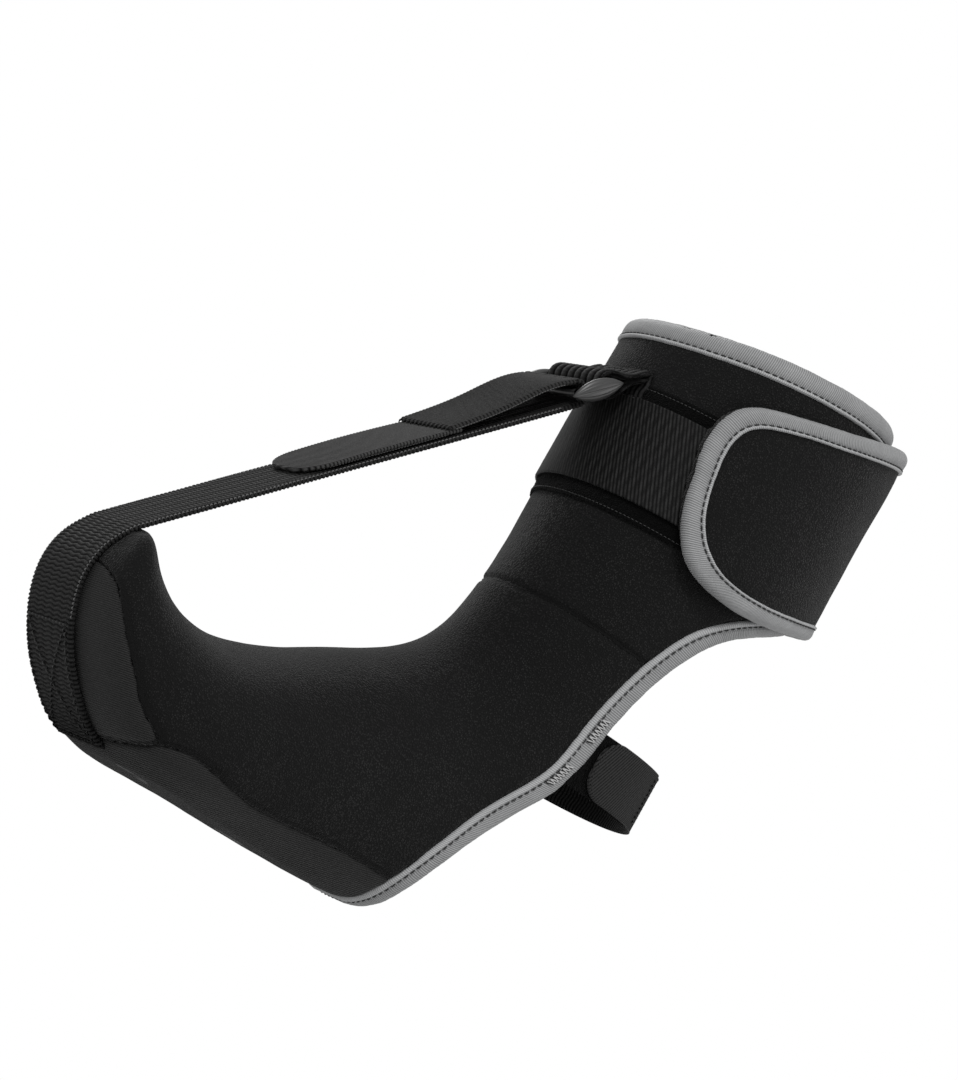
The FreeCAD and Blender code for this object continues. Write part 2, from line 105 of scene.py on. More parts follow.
def run_lengths(line):
    steps = np.linalg.norm(np.diff(line, axis=0), axis=1)
    return np.concatenate([[0], np.cumsum(steps)])


def sample(at, knots, values):
    """Points at some places between knots, on the straight lines through the rows of values."""
    return np.stack([np.interp(at, knots, values[:, k]) for k in range(values.shape[1])], axis=-1)


def curve_through(points, knots):
    """A smooth curve through points, as a function of the knots' parameter."""
    p, h, count = np.array(points, float), np.diff(knots), len(points)
    system, right = np.eye(count), np.zeros_like(p)
    for i in range(1, count - 1):
        system[i, i - 1:i + 2] = h[i - 1], 2 * (h[i - 1] + h[i]), h[i]
        right[i] = 6 * ((p[i + 1] - p[i]) / h[i] - (p[i] - p[i - 1]) / h[i - 1])
    bend = np.linalg.solve(system, right)

    def place(t):
        i = np.clip(np.searchsorted(knots, t) - 1, 0, count - 2)
        a, b = ((knots[i + 1] - t) / h[i])[:, None], ((t - knots[i]) / h[i])[:, None]
        curl = ((a ** 3 - a) * bend[i] + (b ** 3 - b) * bend[i + 1]) * (h[i] ** 2 / 6)[:, None]
        return a * p[i] + b * p[i + 1] + curl

    return place


def dense(points, step=0.5):
    """Closely spaced points of the smooth curve through the given ones."""
    knots = run_lengths(np.array(points, float))
    return curve_through(points, knots)(np.arange(0, knots[-1], step))


def dense_pair(outer, inner, step=0.5):
    """An edge and the line that runs beside it, at matching places."""
    knots = run_lengths((np.array(outer, float) + np.array(inner, float)) / 2)
    t = np.arange(0, knots[-1], step)
    return curve_through(outer, knots)(t), curve_through(inner, knots)(t)


def evenly(grid, step, guide=0):
    """Rows of points respaced along the line that the column numbered guide makes."""
    along = run_lengths(grid[:, guide])
    wanted = np.linspace(0, along[-1], max(2, int(round(along[-1] / step)) + 1))
    return sample(wanted, along, grid.reshape(len(grid), -1)).reshape(len(wanted), *grid.shape[1:])


def softened(grid, reach, times=2):
    """Rows averaged with their neighbours, except at the two ends."""
    for _ in range(times):
        before, after = 2 * grid[:1] - grid[reach:0:-1], 2 * grid[-1:] - grid[-2:-reach - 2:-1]
        padded = np.concatenate([before, grid, after])
        total = np.cumsum(np.concatenate([np.zeros_like(padded[:1]), padded]), axis=0)
        grid = (total[2 * reach + 1:] - total[:-2 * reach - 1]) / (2 * reach + 1)
    return grid


# ---- meshes
class Part:
    """Points, faces with four corners, a material, a place in the weave for each point, and how high each
    point stands in the weave's relief, from -1 to 1, which the materials paint as shade in the valleys and
    light on the ridges."""

    def __init__(self, points, quads, material, weave=None, relief_shade=None):
        self.points, self.quads, self.material = points.reshape(-1, 3), quads, material
        count = len(self.points)
        self.weave = np.zeros((count, 2)) if weave is None else weave.reshape(-1, 2)
        self.relief_shade = np.zeros(count) if relief_shade is None else relief_shade.ravel()


def lattice(rows, columns, wrap=False):
    """The faces of a grid of points, closed round its columns if wrap."""
    across = np.arange(columns if wrap else columns - 1)
    a = (np.arange(rows - 1)[:, None] * columns + across[None, :]).ravel()
    b = (np.arange(rows - 1)[:, None] * columns + ((across + 1) % columns)[None, :]).ravel()
    return np.stack([a, b, b + columns, a + columns], axis=1)


def piece(name, parts, body=None, replaces=(), blend=None):
    """One object made of parts, that rides on a body or bends between two."""
    start, quads, indices, materials = 0, [], [], []
    for part in parts:
        if part.material not in materials:
            materials.append(part.material)
        quads.append(part.quads + start)
        indices += [materials.index(part.material)] * len(part.quads)
        start += len(part.points)
    quads = np.concatenate(quads)
    mesh = bpy.data.meshes.new(name)
    mesh.from_pydata(to_row(np.concatenate([part.points for part in parts])).tolist(), [], quads.tolist())
    for material in materials:
        mesh.materials.append(material)
    mesh.polygons.foreach_set("material_index", indices)
    weave = np.concatenate([part.weave for part in parts])
    corners = np.empty(len(mesh.loops), np.int32)
    mesh.loops.foreach_get("vertex_index", corners)
    mesh.uv_layers.new(name="weave").data.foreach_set("uv", weave[corners].astype(np.float32).ravel())
    add_value(mesh, "relief_shade", np.concatenate([part.relief_shade for part in parts]))
    return settle(name, mesh, body, replaces, blend)


def add_value(mesh, name, values):
    """Store one number for each point, for the materials to read."""
    mesh.attributes.new(name, "FLOAT", "POINT").data.foreach_set("value", values.astype(np.float32))


def settle(name, mesh, body, replaces=(), blend=None):
    mesh.polygons.foreach_set("use_smooth", [True] * len(mesh.polygons))
    mesh.update()
    mesh.validate()
    made = bpy.data.objects.new(name, mesh)
    bpy.context.scene.collection.objects.link(made)
    if blend:
        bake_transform(made)
    else:
        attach(made, body)
    if replaces:
        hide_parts(*replaces)
    return made


def wavy(count, seed, scale):
    """Smooth random numbers from -1 to 1, the same ones each run."""
    return np.array([noise.noise(Vector((k * scale, seed, 0.5))) for k in range(count)]) * 2


class Band:
    """A strip's middle line, with its sideways and outward directions at each place."""

    def __init__(self, middle, side, out):
        self.middle, self.side, self.out = middle, unit(side), unit(out)
        self.along = run_lengths(middle)
        self.length = self.along[-1]

    def behind(self, x):
        """The part of the band that lies behind x."""
        keep = self.middle[:, 0] < x
        return Band(self.middle[keep], self.side[keep], self.out[keep])

    def point(self, along, side, lift):
        """Points on the band, at distances along it, to its side and outwards."""
        along, side, lift = np.broadcast_arrays(np.asarray(along, float), side, lift)
        middle, sideways, out = (sample(along, self.along, values)
                                 for values in (self.middle, self.side, self.out))
        return middle + sideways * side[..., None] + out * lift[..., None]


def planar_band(line, step=0.3):
    """A band that follows a side-view line, with its width across Y."""
    middle = evenly(np.array(line, float)[:, None, :], step)[:, 0]
    middle = np.stack([middle[:, 0], np.zeros(len(middle)), middle[:, 1]], axis=1)
    way = unit(np.gradient(middle, axis=0))
    out = np.stack([way[:, 2], np.zeros(len(way)), -way[:, 0]], axis=1)
    return Band(middle, np.tile([0.0, 1.0, 0.0], (len(middle), 1)), out)


def round_band(form, offset, start, end, low, wide, step=0.3):
    """A band round an ellipse, from one angle to another in degrees, with its width up Z."""
    centre, rx, ry = form
    angle = np.radians(np.linspace(start, end, 400))
    ring = np.stack([centre + (rx + offset) * np.cos(angle), (ry + offset) * np.sin(angle)], axis=1)
    ring = evenly(ring[:, None, :], step)[:, 0]
    middle = np.column_stack([ring, np.full(len(ring), low + wide / 2)])
    way = unit(np.gradient(middle, axis=0)) * math.copysign(1, end - start)
    out = np.stack([way[:, 1], -way[:, 0], np.zeros(len(way))], axis=1)
    return Band(middle, np.tile([0.0, 0.0, 1.0], (len(middle), 1)), out)


EDGE_CROWD = 0.35  # how much a strip's columns crowd towards its long edges
END_EASE, END_THIN = 0.6, 0.35  # how far from a strip's end it thins, and to what share


def strip(band, half, thick, material, relief, columns, corner=0.0):
    """A closed flat strip along a band. relief(along, side) raises both faces, and corner rounds the
    corners at its far end."""
    edge = min(thick / 2, half)
    along = band.along[:, None]
    left = np.maximum(corner - (band.length - along), 0)
    width = half - (corner - np.sqrt(np.maximum(corner ** 2 - left ** 2, 0)))
    crowded = np.sin(np.linspace(-math.pi / 2, math.pi / 2, columns))
    place = crowded * EDGE_CROWD + np.linspace(-1, 1, columns) * (1 - EDGE_CROWD)
    side = place[None, :] * width
    near_edge = np.clip((np.abs(side) - (width - edge)) / edge, 0, 1)
    flat = np.sqrt(1 - near_edge ** 2)
    raised = relief(along + 0 * side, side + 0 * along)
    lift = (thick / 2 - edge) + edge * flat + raised * flat
    end_fade = np.minimum(np.minimum(along, band.length - along) / END_EASE, 1)
    lift = lift * (END_THIN + (1 - END_THIN) * np.sqrt(end_fade))
    top, low = band.point(along, side, lift), band.point(along, side, -lift)
    points = np.concatenate([top, low[:, ::-1]], axis=1)
    weave = np.stack([along + 0 * side, side], axis=-1)
    weave = np.concatenate([weave, weave[:, ::-1]], axis=1)
    rows, count = points.shape[:2]
    quads = lattice(rows, count, wrap=True)
    j = np.arange(columns - 1)
    cap = np.stack([j, count - 1 - j, count - 2 - j, j + 1], axis=1)
    quads = np.concatenate([quads, cap, cap[:, ::-1] + (rows - 1) * count])
    # the relief, kept for the materials to paint shade in its valleys and light on its ridges
    relief_shade = raised / np.abs(raised).max()
    return Part(points, quads, material, weave, np.concatenate([relief_shade, relief_shade[:, ::-1]], axis=1))


def threads(starts, ends, outs, thick, material, sink=0.35):
    """Stitches: one small bead from each start to its end, whose two ends dip into the cloth."""
    sections, sides = np.linspace(0, 1, 6), 6
    turn = np.arange(sides) * 2 * math.pi / sides
    points = []
    for share in sections:
        high = math.sin(math.pi * share) ** 0.5
        middle = starts + (ends - starts) * share + outs * (thick * (high - sink))
        way = unit(ends - starts)
        side = unit(np.cross(way, outs))
        radius = thick / 2 * (0.55 + 0.45 * high)
        for a in turn:
            points.append(middle + (side * math.cos(a) + outs * math.sin(a)) * radius)
    points = np.stack(points, axis=1)
    one = lattice(len(sections), sides, wrap=True)
    quads = np.concatenate([one + k * points.shape[1] for k in range(len(points))])
    return Part(points, quads, material)


def stitch_row(band, along, side, lift, material, pitch=3.6, share=0.68, thick=0.55):
    """Stitches along a line on a band, given by its places along and to the side."""
    line = band.point(np.array(along, float), np.array(side, float), lift)
    fine = evenly(line[:, None, :], 0.2)[:, 0]
    runs = run_lengths(fine)
    first = np.arange(0.3, runs[-1] - pitch * share, pitch)
    starts, ends = sample(first, runs, fine), sample(first + pitch * share, runs, fine)
    nearest = [int(np.argmin(np.linalg.norm(band.middle - p, axis=1))) for p in starts]
    return threads(starts, ends, band.out[nearest], thick, material)


def edge_stitches(band, first, last, inset, lift, material, **look):
    """Rows of stitches along both sides of a band, between two distances along it."""
    return [stitch_row(band, np.arange(first, last, 1.0), side * inset, lift, material, **look)
            for side in (-1, 1)]


def border_stitches(band, half, corner, inset, first, turn_step, lift, material, **look):
    """A row of stitches up one side of a band, round its rounded far end and back down the other side."""
    along, side, radius = band.length - corner, half - corner, corner - inset
    tip = [(along + radius * math.sin(a), side + radius * math.cos(a))
           for a in np.radians(np.arange(0, 91, turn_step))]
    line = np.array([(first, tip[0][1])] + tip + [(s, -w) for s, w in tip[::-1]] + [(first, -tip[0][1])])
    return stitch_row(band, line[:, 0], line[:, 1], lift, material, **look)


# ---- materials
class Nodes:
    """A material's node tree, with short calls to add nodes and join them."""

    def __init__(self, name):
        self.material = bpy.data.materials.new(name)
        self.material.use_nodes = True
        self.tree = self.material.node_tree
        self.shader = self.tree.nodes["Principled BSDF"]

    def add(self, kind, inputs=None, **settings):
        node = self.tree.nodes.new(kind)
        for key, value in settings.items():
            setattr(node, key, value)
        for key, value in (inputs or {}).items():
            self.join(value, node.inputs[key])
        return node

    def join(self, value, socket):
        if isinstance(value, bpy.types.NodeSocket):
            self.tree.links.new(value, socket)
        else:
            socket.default_value = value

    def set(self, **values):
        for key, value in values.items():
            self.join(value, self.shader.inputs[key.replace("_", " ")])

    def object_space(self, scale=(1, 1, 1), turn=(0, 0, 0)):
        space = self.add("ShaderNodeTexCoord").outputs["Object"]
        return self.add("ShaderNodeMapping", {"Vector": space, "Scale": scale, "Rotation": turn}).outputs[0]

    def weave_space(self, scale=(1, 1, 1), turn=0.0):
        space = self.add("ShaderNodeUVMap", uv_map="weave").outputs[0]
        return self.add("ShaderNodeMapping", {"Vector": space, "Scale": scale,
                                              "Rotation": (0, 0, turn)}).outputs[0]

    def grain(self, space, scale, detail=2.0, roughness=0.55):
        return self.add("ShaderNodeTexNoise", {"Vector": space, "Scale": scale, "Detail": detail,
                                               "Roughness": roughness}).outputs["Fac"]

    def cells(self, space, scale, jitter=1.0):
        return self.add("ShaderNodeTexVoronoi", {"Vector": space, "Scale": scale,
                                                 "Randomness": jitter}).outputs["Distance"]

    def lines(self, space, pitch, wobble=0.0, way="X"):
        """Parallel bands whose spacing is pitch, in the units of space."""
        return self.add("ShaderNodeTexWave", {"Vector": space, "Scale": 2 * math.pi / (20 * pitch),
                                              "Distortion": wobble, "Detail": 2.0, "Detail Scale": 2.0},
                        wave_type="BANDS", bands_direction=way).outputs["Fac"]

    def value(self, name):
        """A number stored on the mesh's points."""
        return self.add("ShaderNodeAttribute", attribute_name=name).outputs["Fac"]

    def mapped(self, value, low, high, to_low=0.0, to_high=1.0):
        return self.add("ShaderNodeMapRange", {"Value": value, "From Min": low, "From Max": high,
                                               "To Min": to_low, "To Max": to_high}).outputs[0]

    def sum(self, a, b, share=1.0):
        scaled = self.add("ShaderNodeMath", {0: b, 1: share}, operation="MULTIPLY").outputs[0]
        return self.add("ShaderNodeMath", {0: a, 1: scaled}, operation="ADD").outputs[0]

    def colours(self, value, dark, light):
        mix = self.add("ShaderNodeMix", data_type="RGBA")
        self.join(value, mix.inputs["Factor"])
        self.join((*dark, 1), mix.inputs[6])
        self.join((*light, 1), mix.inputs[7])
        return mix.outputs[2]

    def cloth(self, value, dark, light, rough, shine, sheen=0.12, sheen_rough=0.4):
        """A dull shader whose colour goes from dark to light with value."""
        self.set(Base_Color=self.colours(value, dark, light), Roughness=rough, Specular_IOR_Level=shine,
                 Sheen_Weight=sheen, Sheen_Roughness=sheen_rough)

    def raised(self, height, distance, strength=1.0):
        bump = self.add("ShaderNodeBump", {"Height": height, "Distance": distance, "Strength": strength})
        self.join(bump.outputs[0], self.shader.inputs["Normal"])


def grey(value, warm=0.0):
    return (value * (1 + warm), value, value * (1 - warm))


def knit_material():
    made = Nodes("knit_neoprene")
    space = made.object_space()
    loops = made.cells(made.object_space(scale=(1.0, 1.0, 0.75)), 1500, 0.85)
    grain = made.grain(space, 900, 3.0)
    patches = made.grain(space, 38, 2.0)
    height = made.sum(made.mapped(loops, 0.0, 0.7, 1.0, 0.0), grain, 0.6)
    speck = made.mapped(made.sum(height, patches, 0.5), 1.0, 1.65)
    # the seams' painted shade darkens the knit along each seam
    shade = made.sum(speck, made.value("seam_painted_shade"), -1.0)
    made.cloth(shade, grey(0.0010), grey(0.034, 0.01), rough=0.85, shine=0.24)
    made.raised(height, 0.00028, 1.0)
    return made.material


TWILL_TURN, TWILL_PITCH = math.radians(78), 0.00072


def twill_material():
    made = Nodes("twill_neoprene")
    rows = made.lines(made.object_space(turn=(0, TWILL_TURN, 0)), TWILL_PITCH, 0.5)
    grain = made.grain(made.object_space(), 1300, 3.0)
    height = made.sum(rows, grain, 1.1)
    speck = made.mapped(height, 0.5, 1.7)
    # the seams' painted shade darkens the twill along each seam
    shade = made.sum(speck, made.value("seam_painted_shade"), -1.0)
    made.cloth(shade, grey(0.0012), grey(0.032, 0.01), rough=0.76, shine=0.3)
    made.raised(height, 0.00025, 0.8)
    return made.material


def grosgrain_material(name, dark, light):
    made = Nodes(name)
    ribs = made.lines(made.weave_space(), 0.85, 0.25, "X")
    wear = made.grain(made.object_space(), 120, 3.0)
    fuzz = made.grain(made.object_space(), 1600, 2.0)
    # the ribs darken the colour in their valleys as painted shade; the fuzz and wear noise add random tone
    tone = made.sum(made.sum(ribs, fuzz, 0.4), wear, 0.5)
    made.cloth(made.mapped(tone, 0.35, 1.6), grey(dark, -0.012), grey(light, -0.01),
               rough=0.5, shine=0.42, sheen_rough=0.35)
    made.raised(made.sum(ribs, fuzz, 0.3), 0.00016, 0.8)
    return made.material


def webbing_material(name, dark, light, fuzz=0.5, shine=0.2):
    """Cloth whose colour follows the relief of its weave, broken up by fibres: painted shade in the weave's
    valleys and painted light on its ridges.
    """
    made = Nodes(name)
    fibres = made.grain(made.object_space(), 1500, 3.0)
    # painted shade in the weave's valleys and painted light on its ridges, from the stored relief, with
    # fibres' own tone
    tone = made.sum(made.mapped(made.value("relief_shade"), -0.8, 1.0), fibres, fuzz)
    made.cloth(made.mapped(tone, 0.55, 1.3), grey(dark), grey(light, 0.006), rough=0.62, shine=shine,
               sheen=0.06)
    made.raised(tone, 0.0002, 0.8)
    return made.material


def fuzzy_material(name, dark, light):
    made = Nodes(name)
    space = made.object_space()
    tufts = made.cells(space, 1700, 1.0)
    clumps = made.grain(space, 420, 4.0, 0.65)
    height = made.sum(made.mapped(tufts, 0.0, 0.8, 1.0, 0.0), clumps, 1.2)
    made.cloth(made.mapped(height, 0.9, 1.9), grey(dark), grey(light), rough=0.95, shine=0.07,
               sheen=0.03, sheen_rough=0.6)
    made.raised(height, 0.0005, 1.0)
    return made.material


def thread_material(name, dark, light):
    made = Nodes(name)
    twist = made.grain(made.object_space(), 2500, 1.0)
    made.set(Base_Color=made.colours(twist, grey(dark), grey(light)), Roughness=0.5,
             Specular_IOR_Level=0.45)
    made.raised(twist, 0.00008, 0.5)
    return made.material


def ring_material():
    made = Nodes("ring_plastic")
    space = made.object_space()
    flow = made.grain(space, 60, 2.0)
    grain = made.grain(space, 2600, 2.0)
    made.set(Base_Color=made.colours(flow, grey(0.034), grey(0.055)), Specular_IOR_Level=0.55,
             Roughness=made.mapped(flow, 0.3, 0.7, 0.27, 0.4))
    made.raised(made.sum(flow, grain, 0.3), 0.00005, 0.4)
    return made.material


def board_material():
    made = Nodes("board_plastic")
    space = made.object_space()
    grain = made.grain(space, 300, 4.0)
    made.set(Base_Color=made.colours(grain, grey(0.30, 0.03), grey(0.42, 0.03)), Roughness=0.6)
    made.raised(grain, 0.0002, 0.4)
    return made.material


KNIT, TWILL = knit_material(), twill_material()
GROSGRAIN = grosgrain_material("grey_grosgrain", 0.17, 0.46)
HEM = grosgrain_material("grey_hem", 0.32, 0.58)
WEBBING = webbing_material("black_webbing", 0.0004, 0.030, shine=0.06)
FOLD_WEBBING = webbing_material("fold_webbing", 0.0006, 0.034, 0.9, shine=0.08)
HOOK_RIBS = webbing_material("strap_hook_tape", 0.0010, 0.060, 0.7, shine=0.1)
HOOK = webbing_material("hook_tape", 0.0012, 0.034, 0.8, shine=0.14)
ELASTIC = webbing_material("elastic", 0.0008, 0.036, 0.6, shine=0.14)
LOOP = fuzzy_material("loop_tape", 0.0005, 0.004)
INSOLE = fuzzy_material("insole_foam", 0.008, 0.030)
DARK_THREAD = thread_material("dark_thread", 0.0015, 0.010)
LIGHT_THREAD = thread_material("light_thread", 0.45, 0.65)
GLINT_THREAD = thread_material("glint_thread", 0.07, 0.16)
LOOP_THREAD = thread_material("loop_thread", 0.012, 0.05)
RING = ring_material()
BOARD = board_material()

# ---- reading the CAD surface
def cad_mesh(*names):
    """The points and faces of some CAD nodes together, in the working frame."""
    points, faces, start = [], [], 0
    for name in names:
        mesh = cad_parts[name].data
        place = np.empty(len(mesh.vertices) * 3, np.float32)
        mesh.vertices.foreach_get("co", place)
        points.append(to_work(place.reshape(-1, 3)))
        faces += [[index + start for index in polygon.vertices] for polygon in mesh.polygons]
        start += len(mesh.vertices)
    return np.concatenate(points), faces


def cad_tree(*names):
    points, faces = cad_mesh(*names)
    return BVHTree.FromPolygons(points.tolist(), faces)


FAR_OUT = 150.0  # where rays start, from the middle of the boot


def outside_hit(tree, point, way):
    """Where the surface is first met on coming in from outside towards point."""
    place = Vector(point) + Vector(way) * FAR_OUT
    found = tree.ray_cast(place, -Vector(way))[0]
    return None if found is None else np.array(found)


# ---- edge bindings
ACROSS = 9  # points from the rim of a binding to its hem, on the outer face
FORM_ROWS = 400  # rows across a binding on the leg's form, before they are respaced
# The piped hem's profile: how far each point is from the hem line towards the rim, and how deep it lies.
HEM_FACE = [(-0.4, 1.4), (-0.4, 0.5), (-0.1, -0.1), (0.35, -0.42), (0.85, -0.42), (1.2, -0.1), (1.5, 0.4),
            (1.95, 0.45), (2.4, 0.05)]
HEM_COLUMNS = 6  # points of a binding's profile that belong to its hem
HEM_SEAM = 1.72  # from the hem line to the stitches, for a hem of size 1
RIM_RISE, RIM_POINTS = 3.4, 13  # how far the rounded rim reaches across the faces
FACE_LIFT = 0.12  # how far the outer face stands out between the hem and the rim
INNER_EASE = 0.7  # how far a binding's inner face stands off the neoprene's


def on_form(form, angle, height, offset):
    centre, rx, ry = form
    x, y = centre + (rx + offset) * np.cos(angle), (ry + offset) * np.sin(angle)
    return np.stack([x, y, height], axis=-1)


def form_grid(form, rim, hem, side, offset, limit_x=BACK_X):
    """Rows across a binding on the leg's form, between two side-view lines, up to limit_x."""
    centre, rx, _ = form
    ends = []
    for line in (rim, hem):
        inside = line[(line[:, 0] > limit_x) & (line[:, 0] < centre + rx)]
        ends.append(evenly(inside[:, None, :], run_lengths(inside)[-1] / FORM_ROWS)[:, 0][:FORM_ROWS])
    share = np.linspace(0, 1, ACROSS)[None, :]
    turns = [np.arccos(np.clip((line[:, 0] - centre) / rx, -1, 1)) * side for line in ends]
    angle = turns[0][:, None] * (1 - share) + turns[1][:, None] * share
    height = ends[0][:, 1][:, None] * (1 - share) + ends[1][:, 1][:, None] * share
    return on_form(form, angle, height, offset)


def binding_parts(grid, hem_size, step=0.3):
    """The binding's cloth: outer face, rounded rim and inner face, with slight puckers and a piped hem
    whose size is scaled by hem_size."""
    grid = softened(evenly(grid, step, ACROSS // 2), 6, 2)
    rows = len(grid)
    along = run_lengths(grid[:, ACROSS // 2])
    way = unit(np.gradient(grid, axis=0))
    across = unit(np.gradient(grid, axis=1))
    out = unit(np.cross(way, across))
    probe = grid[rows // 3, 0]
    if out[rows // 3, 0] @ (np.array([CUFF[0], 0, probe[2]]) - probe) > 0:
        out = -out
    wide = np.median(np.linalg.norm(np.diff(grid, axis=1), axis=2).sum(axis=1))
    deep = WALL + 2 * CLOTH + INNER_EASE
    hem = [(1 - distance * hem_size / wide, depth) for distance, depth in HEM_FACE]
    rim_end = RIM_RISE / wide + 0.06
    crest = [(share, -FACE_LIFT) for share in np.linspace(1 - 4.0 / wide, rim_end, 4)]
    rim = [(RIM_RISE / wide * (1 - math.sin(a)), deep / 2 * (1 - math.cos(a)))
           for a in np.linspace(0.15, math.pi - 0.15, RIM_POINTS)]
    inner = [(share, deep) for share in np.linspace(rim_end, 1 - 1.2 / wide, 4)]
    last = [(1 - 0.3 / wide, deep + 0.15), (1 + 0.1 / wide, deep - 0.2), (1 + 0.1 / wide, deep - 1.0)]
    profile = np.array(hem + crest + rim + inner + last)
    columns = np.linspace(0, 1, ACROSS)

    def spread(values):
        return np.stack([sample(profile[:, 0], columns, row) for row in values])

    face, normal, inward = spread(grid), unit(spread(out)), unit(spread(across))
    past = (np.maximum(profile[:, 0] - 1, 0) * wide)[None, :, None]
    face = face + inward * past
    depth = np.broadcast_to(profile[:, 1][None, :], face.shape[:2])
    slant = profile[:, 0][None, :] * 0.9 + profile[:, 1][None, :] * 0.1
    sway = wavy(rows, 3.1, 0.05)[:, None] * 0.07 + wavy(rows, 7.7, 0.4)[:, None] * 0.05
    points = face - normal * depth[..., None]
    points = points + unit(points - points.mean(axis=1, keepdims=True)) * sway[..., None]
    points[..., 2] = np.maximum(points[..., 2], 0)
    around = np.cumsum(np.abs(np.gradient(profile[:, 0] * wide)) + np.abs(np.gradient(profile[:, 1])))
    weave = np.stack([along[:, None] + slant + 0 * depth, around[None, :] + 0 * depth], axis=-1)
    count = points.shape[1]
    quads = lattice(rows, count)
    if np.dot(np.cross(points[1, 0] - points[0, 0], points[0, 1] - points[0, 0]), normal[0, 0]) < 0:
        quads = quads[:, ::-1]
    in_hem = (quads % count).max(axis=1) <= HEM_COLUMNS
    parts = [Part(points, quads[chosen], material, weave)
             for chosen, material in ((in_hem, HEM), (~in_hem, GROSGRAIN))]
    seam_at = 1 - HEM_SEAM * hem_size / wide
    seam_line = np.stack([sample(seam_at, columns, row) for row in grid])
    return parts, Band(seam_line, across[:, ACROSS - 2], out[:, ACROSS - 2])


def bound(grid, hem_size):
    cloth, seam = binding_parts(grid, hem_size)
    count = max(2, int(seam.length))
    stitches = stitch_row(seam, np.linspace(0.5, seam.length - 0.5, count), 0, -0.2, DARK_THREAD,
                          pitch=2.9, share=0.7, thick=0.5)
    return [*cloth, stitches], seam


HALF_SPAN = 8.0  # a point nearer to the middle than this is on the wrong side
END_GAP, ROW_GAP = 2.0, 4.0  # the widest gaps between points at a row's hem, and along it


def mended(row, centre, way):
    """A row with the points that missed its side of the boot carried on from the ones beside them, or
    None where the hem's own points missed it."""
    if row[-1] is None or row[-2] is None or np.linalg.norm(row[-1] - row[-2]) > END_GAP:
        return None
    if (row[-1] - centre) @ way < HALF_SPAN:
        return None
    for k in range(len(row) - 3, -1, -1):
        missed = row[k] is None or (row[k] - centre) @ way < HALF_SPAN
        if missed or np.linalg.norm(row[k] - row[k + 1]) > ROW_GAP:
            row[k] = 2 * row[k + 1] - row[k + 2]
    return row


def side_grid(tree, rim, hem, side):
    """Rows across the heel opening's binding on one side of the boot, from rays along Y."""
    rows, way = [], np.array([0, side, 0])
    for (x0, z0), (x1, z1) in zip(rim, hem):
        row = [outside_hit(tree, (x0 + (x1 - x0) * share, 0, z0 + (z1 - z0) * share), way)
               for share in ROW_SHARES]
        rows.append(mended(row, np.zeros(3), way))
    return np.array([row for row in rows if row is not None])


ROW_SHARES = np.linspace(0.0, 0.98, ACROSS)
SOLE_TURN = 17.0  # below this height the opening's edge is followed round the sole
SOLE_PART = 40.0  # the outlines below this height are enough for that


def sole_grid(tree, rim, hem):
    """Rows across the heel opening's binding under the sole, from rays fanned about the foot's axis."""
    low = rim[:, 1] < SOLE_PART
    rows = []
    for turn in np.radians(np.arange(0, -180.1, -2.0)):
        row = []
        way = np.array([0, math.cos(turn), math.sin(turn)])
        for share in ROW_SHARES:
            edge = rim[low] * (1 - share) + hem[low] * share
            height = SOLE_TURN
            for _ in range(3):
                x = np.interp(height, edge[:, 1], edge[:, 0])
                found = outside_hit(tree, (x, 0, SOLE_TURN), way)
                height = SOLE_TURN if found is None else min(found[2], SOLE_TURN)
            row.append(found)
        rows.append(mended(row, np.array([0, 0, SOLE_TURN]), way))
    return np.array([row for row in rows if row is not None])


def heel_grid():
    """The whole heel opening: near side from under the flap, across the sole, and up the far side."""
    tree = cad_tree("heel_binding", "foot_upper", "sole_cover", "cuff_panel")
    rim, hem = dense_pair(HEEL_EDGE, HEEL_EDGE_IN, 1.5)
    above = rim[:, 1] > SOLE_TURN + 1
    near = side_grid(tree, rim[above], hem[above], 1)[::-1]
    near = near[near[:, :, 1].min(axis=1) > NEAR_BINDING_END]
    far = side_grid(tree, rim[above], hem[above], -1)
    far = far[far[:, :, 0].max(axis=1) > WING_START - 1]
    grid = np.concatenate([near, sole_grid(tree, rim, hem), far])
    return softened(evenly(grid, 1.2, ACROSS // 2), 2, 2)


def flap_grid():
    """The far wing's lower edge, round the flap, and back along the wing's top edge."""
    rim, hem = dense_pair(HEEL_EDGE, HEEL_EDGE_IN, 0.5)
    wing_low = [line[line[:, 0] < WING_START] for line in (rim, hem)]
    low = form_grid(WING_FORM, *wing_low, -1, CLOTH)
    rim, hem = dense_pair(FLAP_EDGE[::-1], FLAP_EDGE_IN[::-1], 0.5)
    flap = form_grid(FLAP_FORM, rim, hem, 1, CLOTH)
    rim = dense(TOP_EDGE, 0.5)[::-1]
    wing_top = rim[rim[:, 0] < WING_START]
    top = form_grid(WING_FORM, wing_top, wing_top - [0, BIND_WIDE], -1, CLOTH)
    return np.concatenate([low[:-1], flap, top[1:]])


def top_grid():
    """The cuff's top edge, from the far side round the front to under the flap."""
    centre, rx, _ = CUFF
    line = dense(TOP_EDGE, 0.5)
    angle = np.radians(np.arange(-90.0, 165.1, 1.0))
    height = np.interp(-(centre + rx * np.cos(angle)), -line[:, 0], line[:, 1])[:, None]
    share = np.linspace(0, 1, ACROSS)[None, :]
    return on_form(CUFF, angle[:, None] + 0 * share, height - BIND_WIDE * share, CLOTH)


TACK_HEIGHTS, TACK_LONG, TACK_TURNS = (99.0, 78.0), 10.0, 14


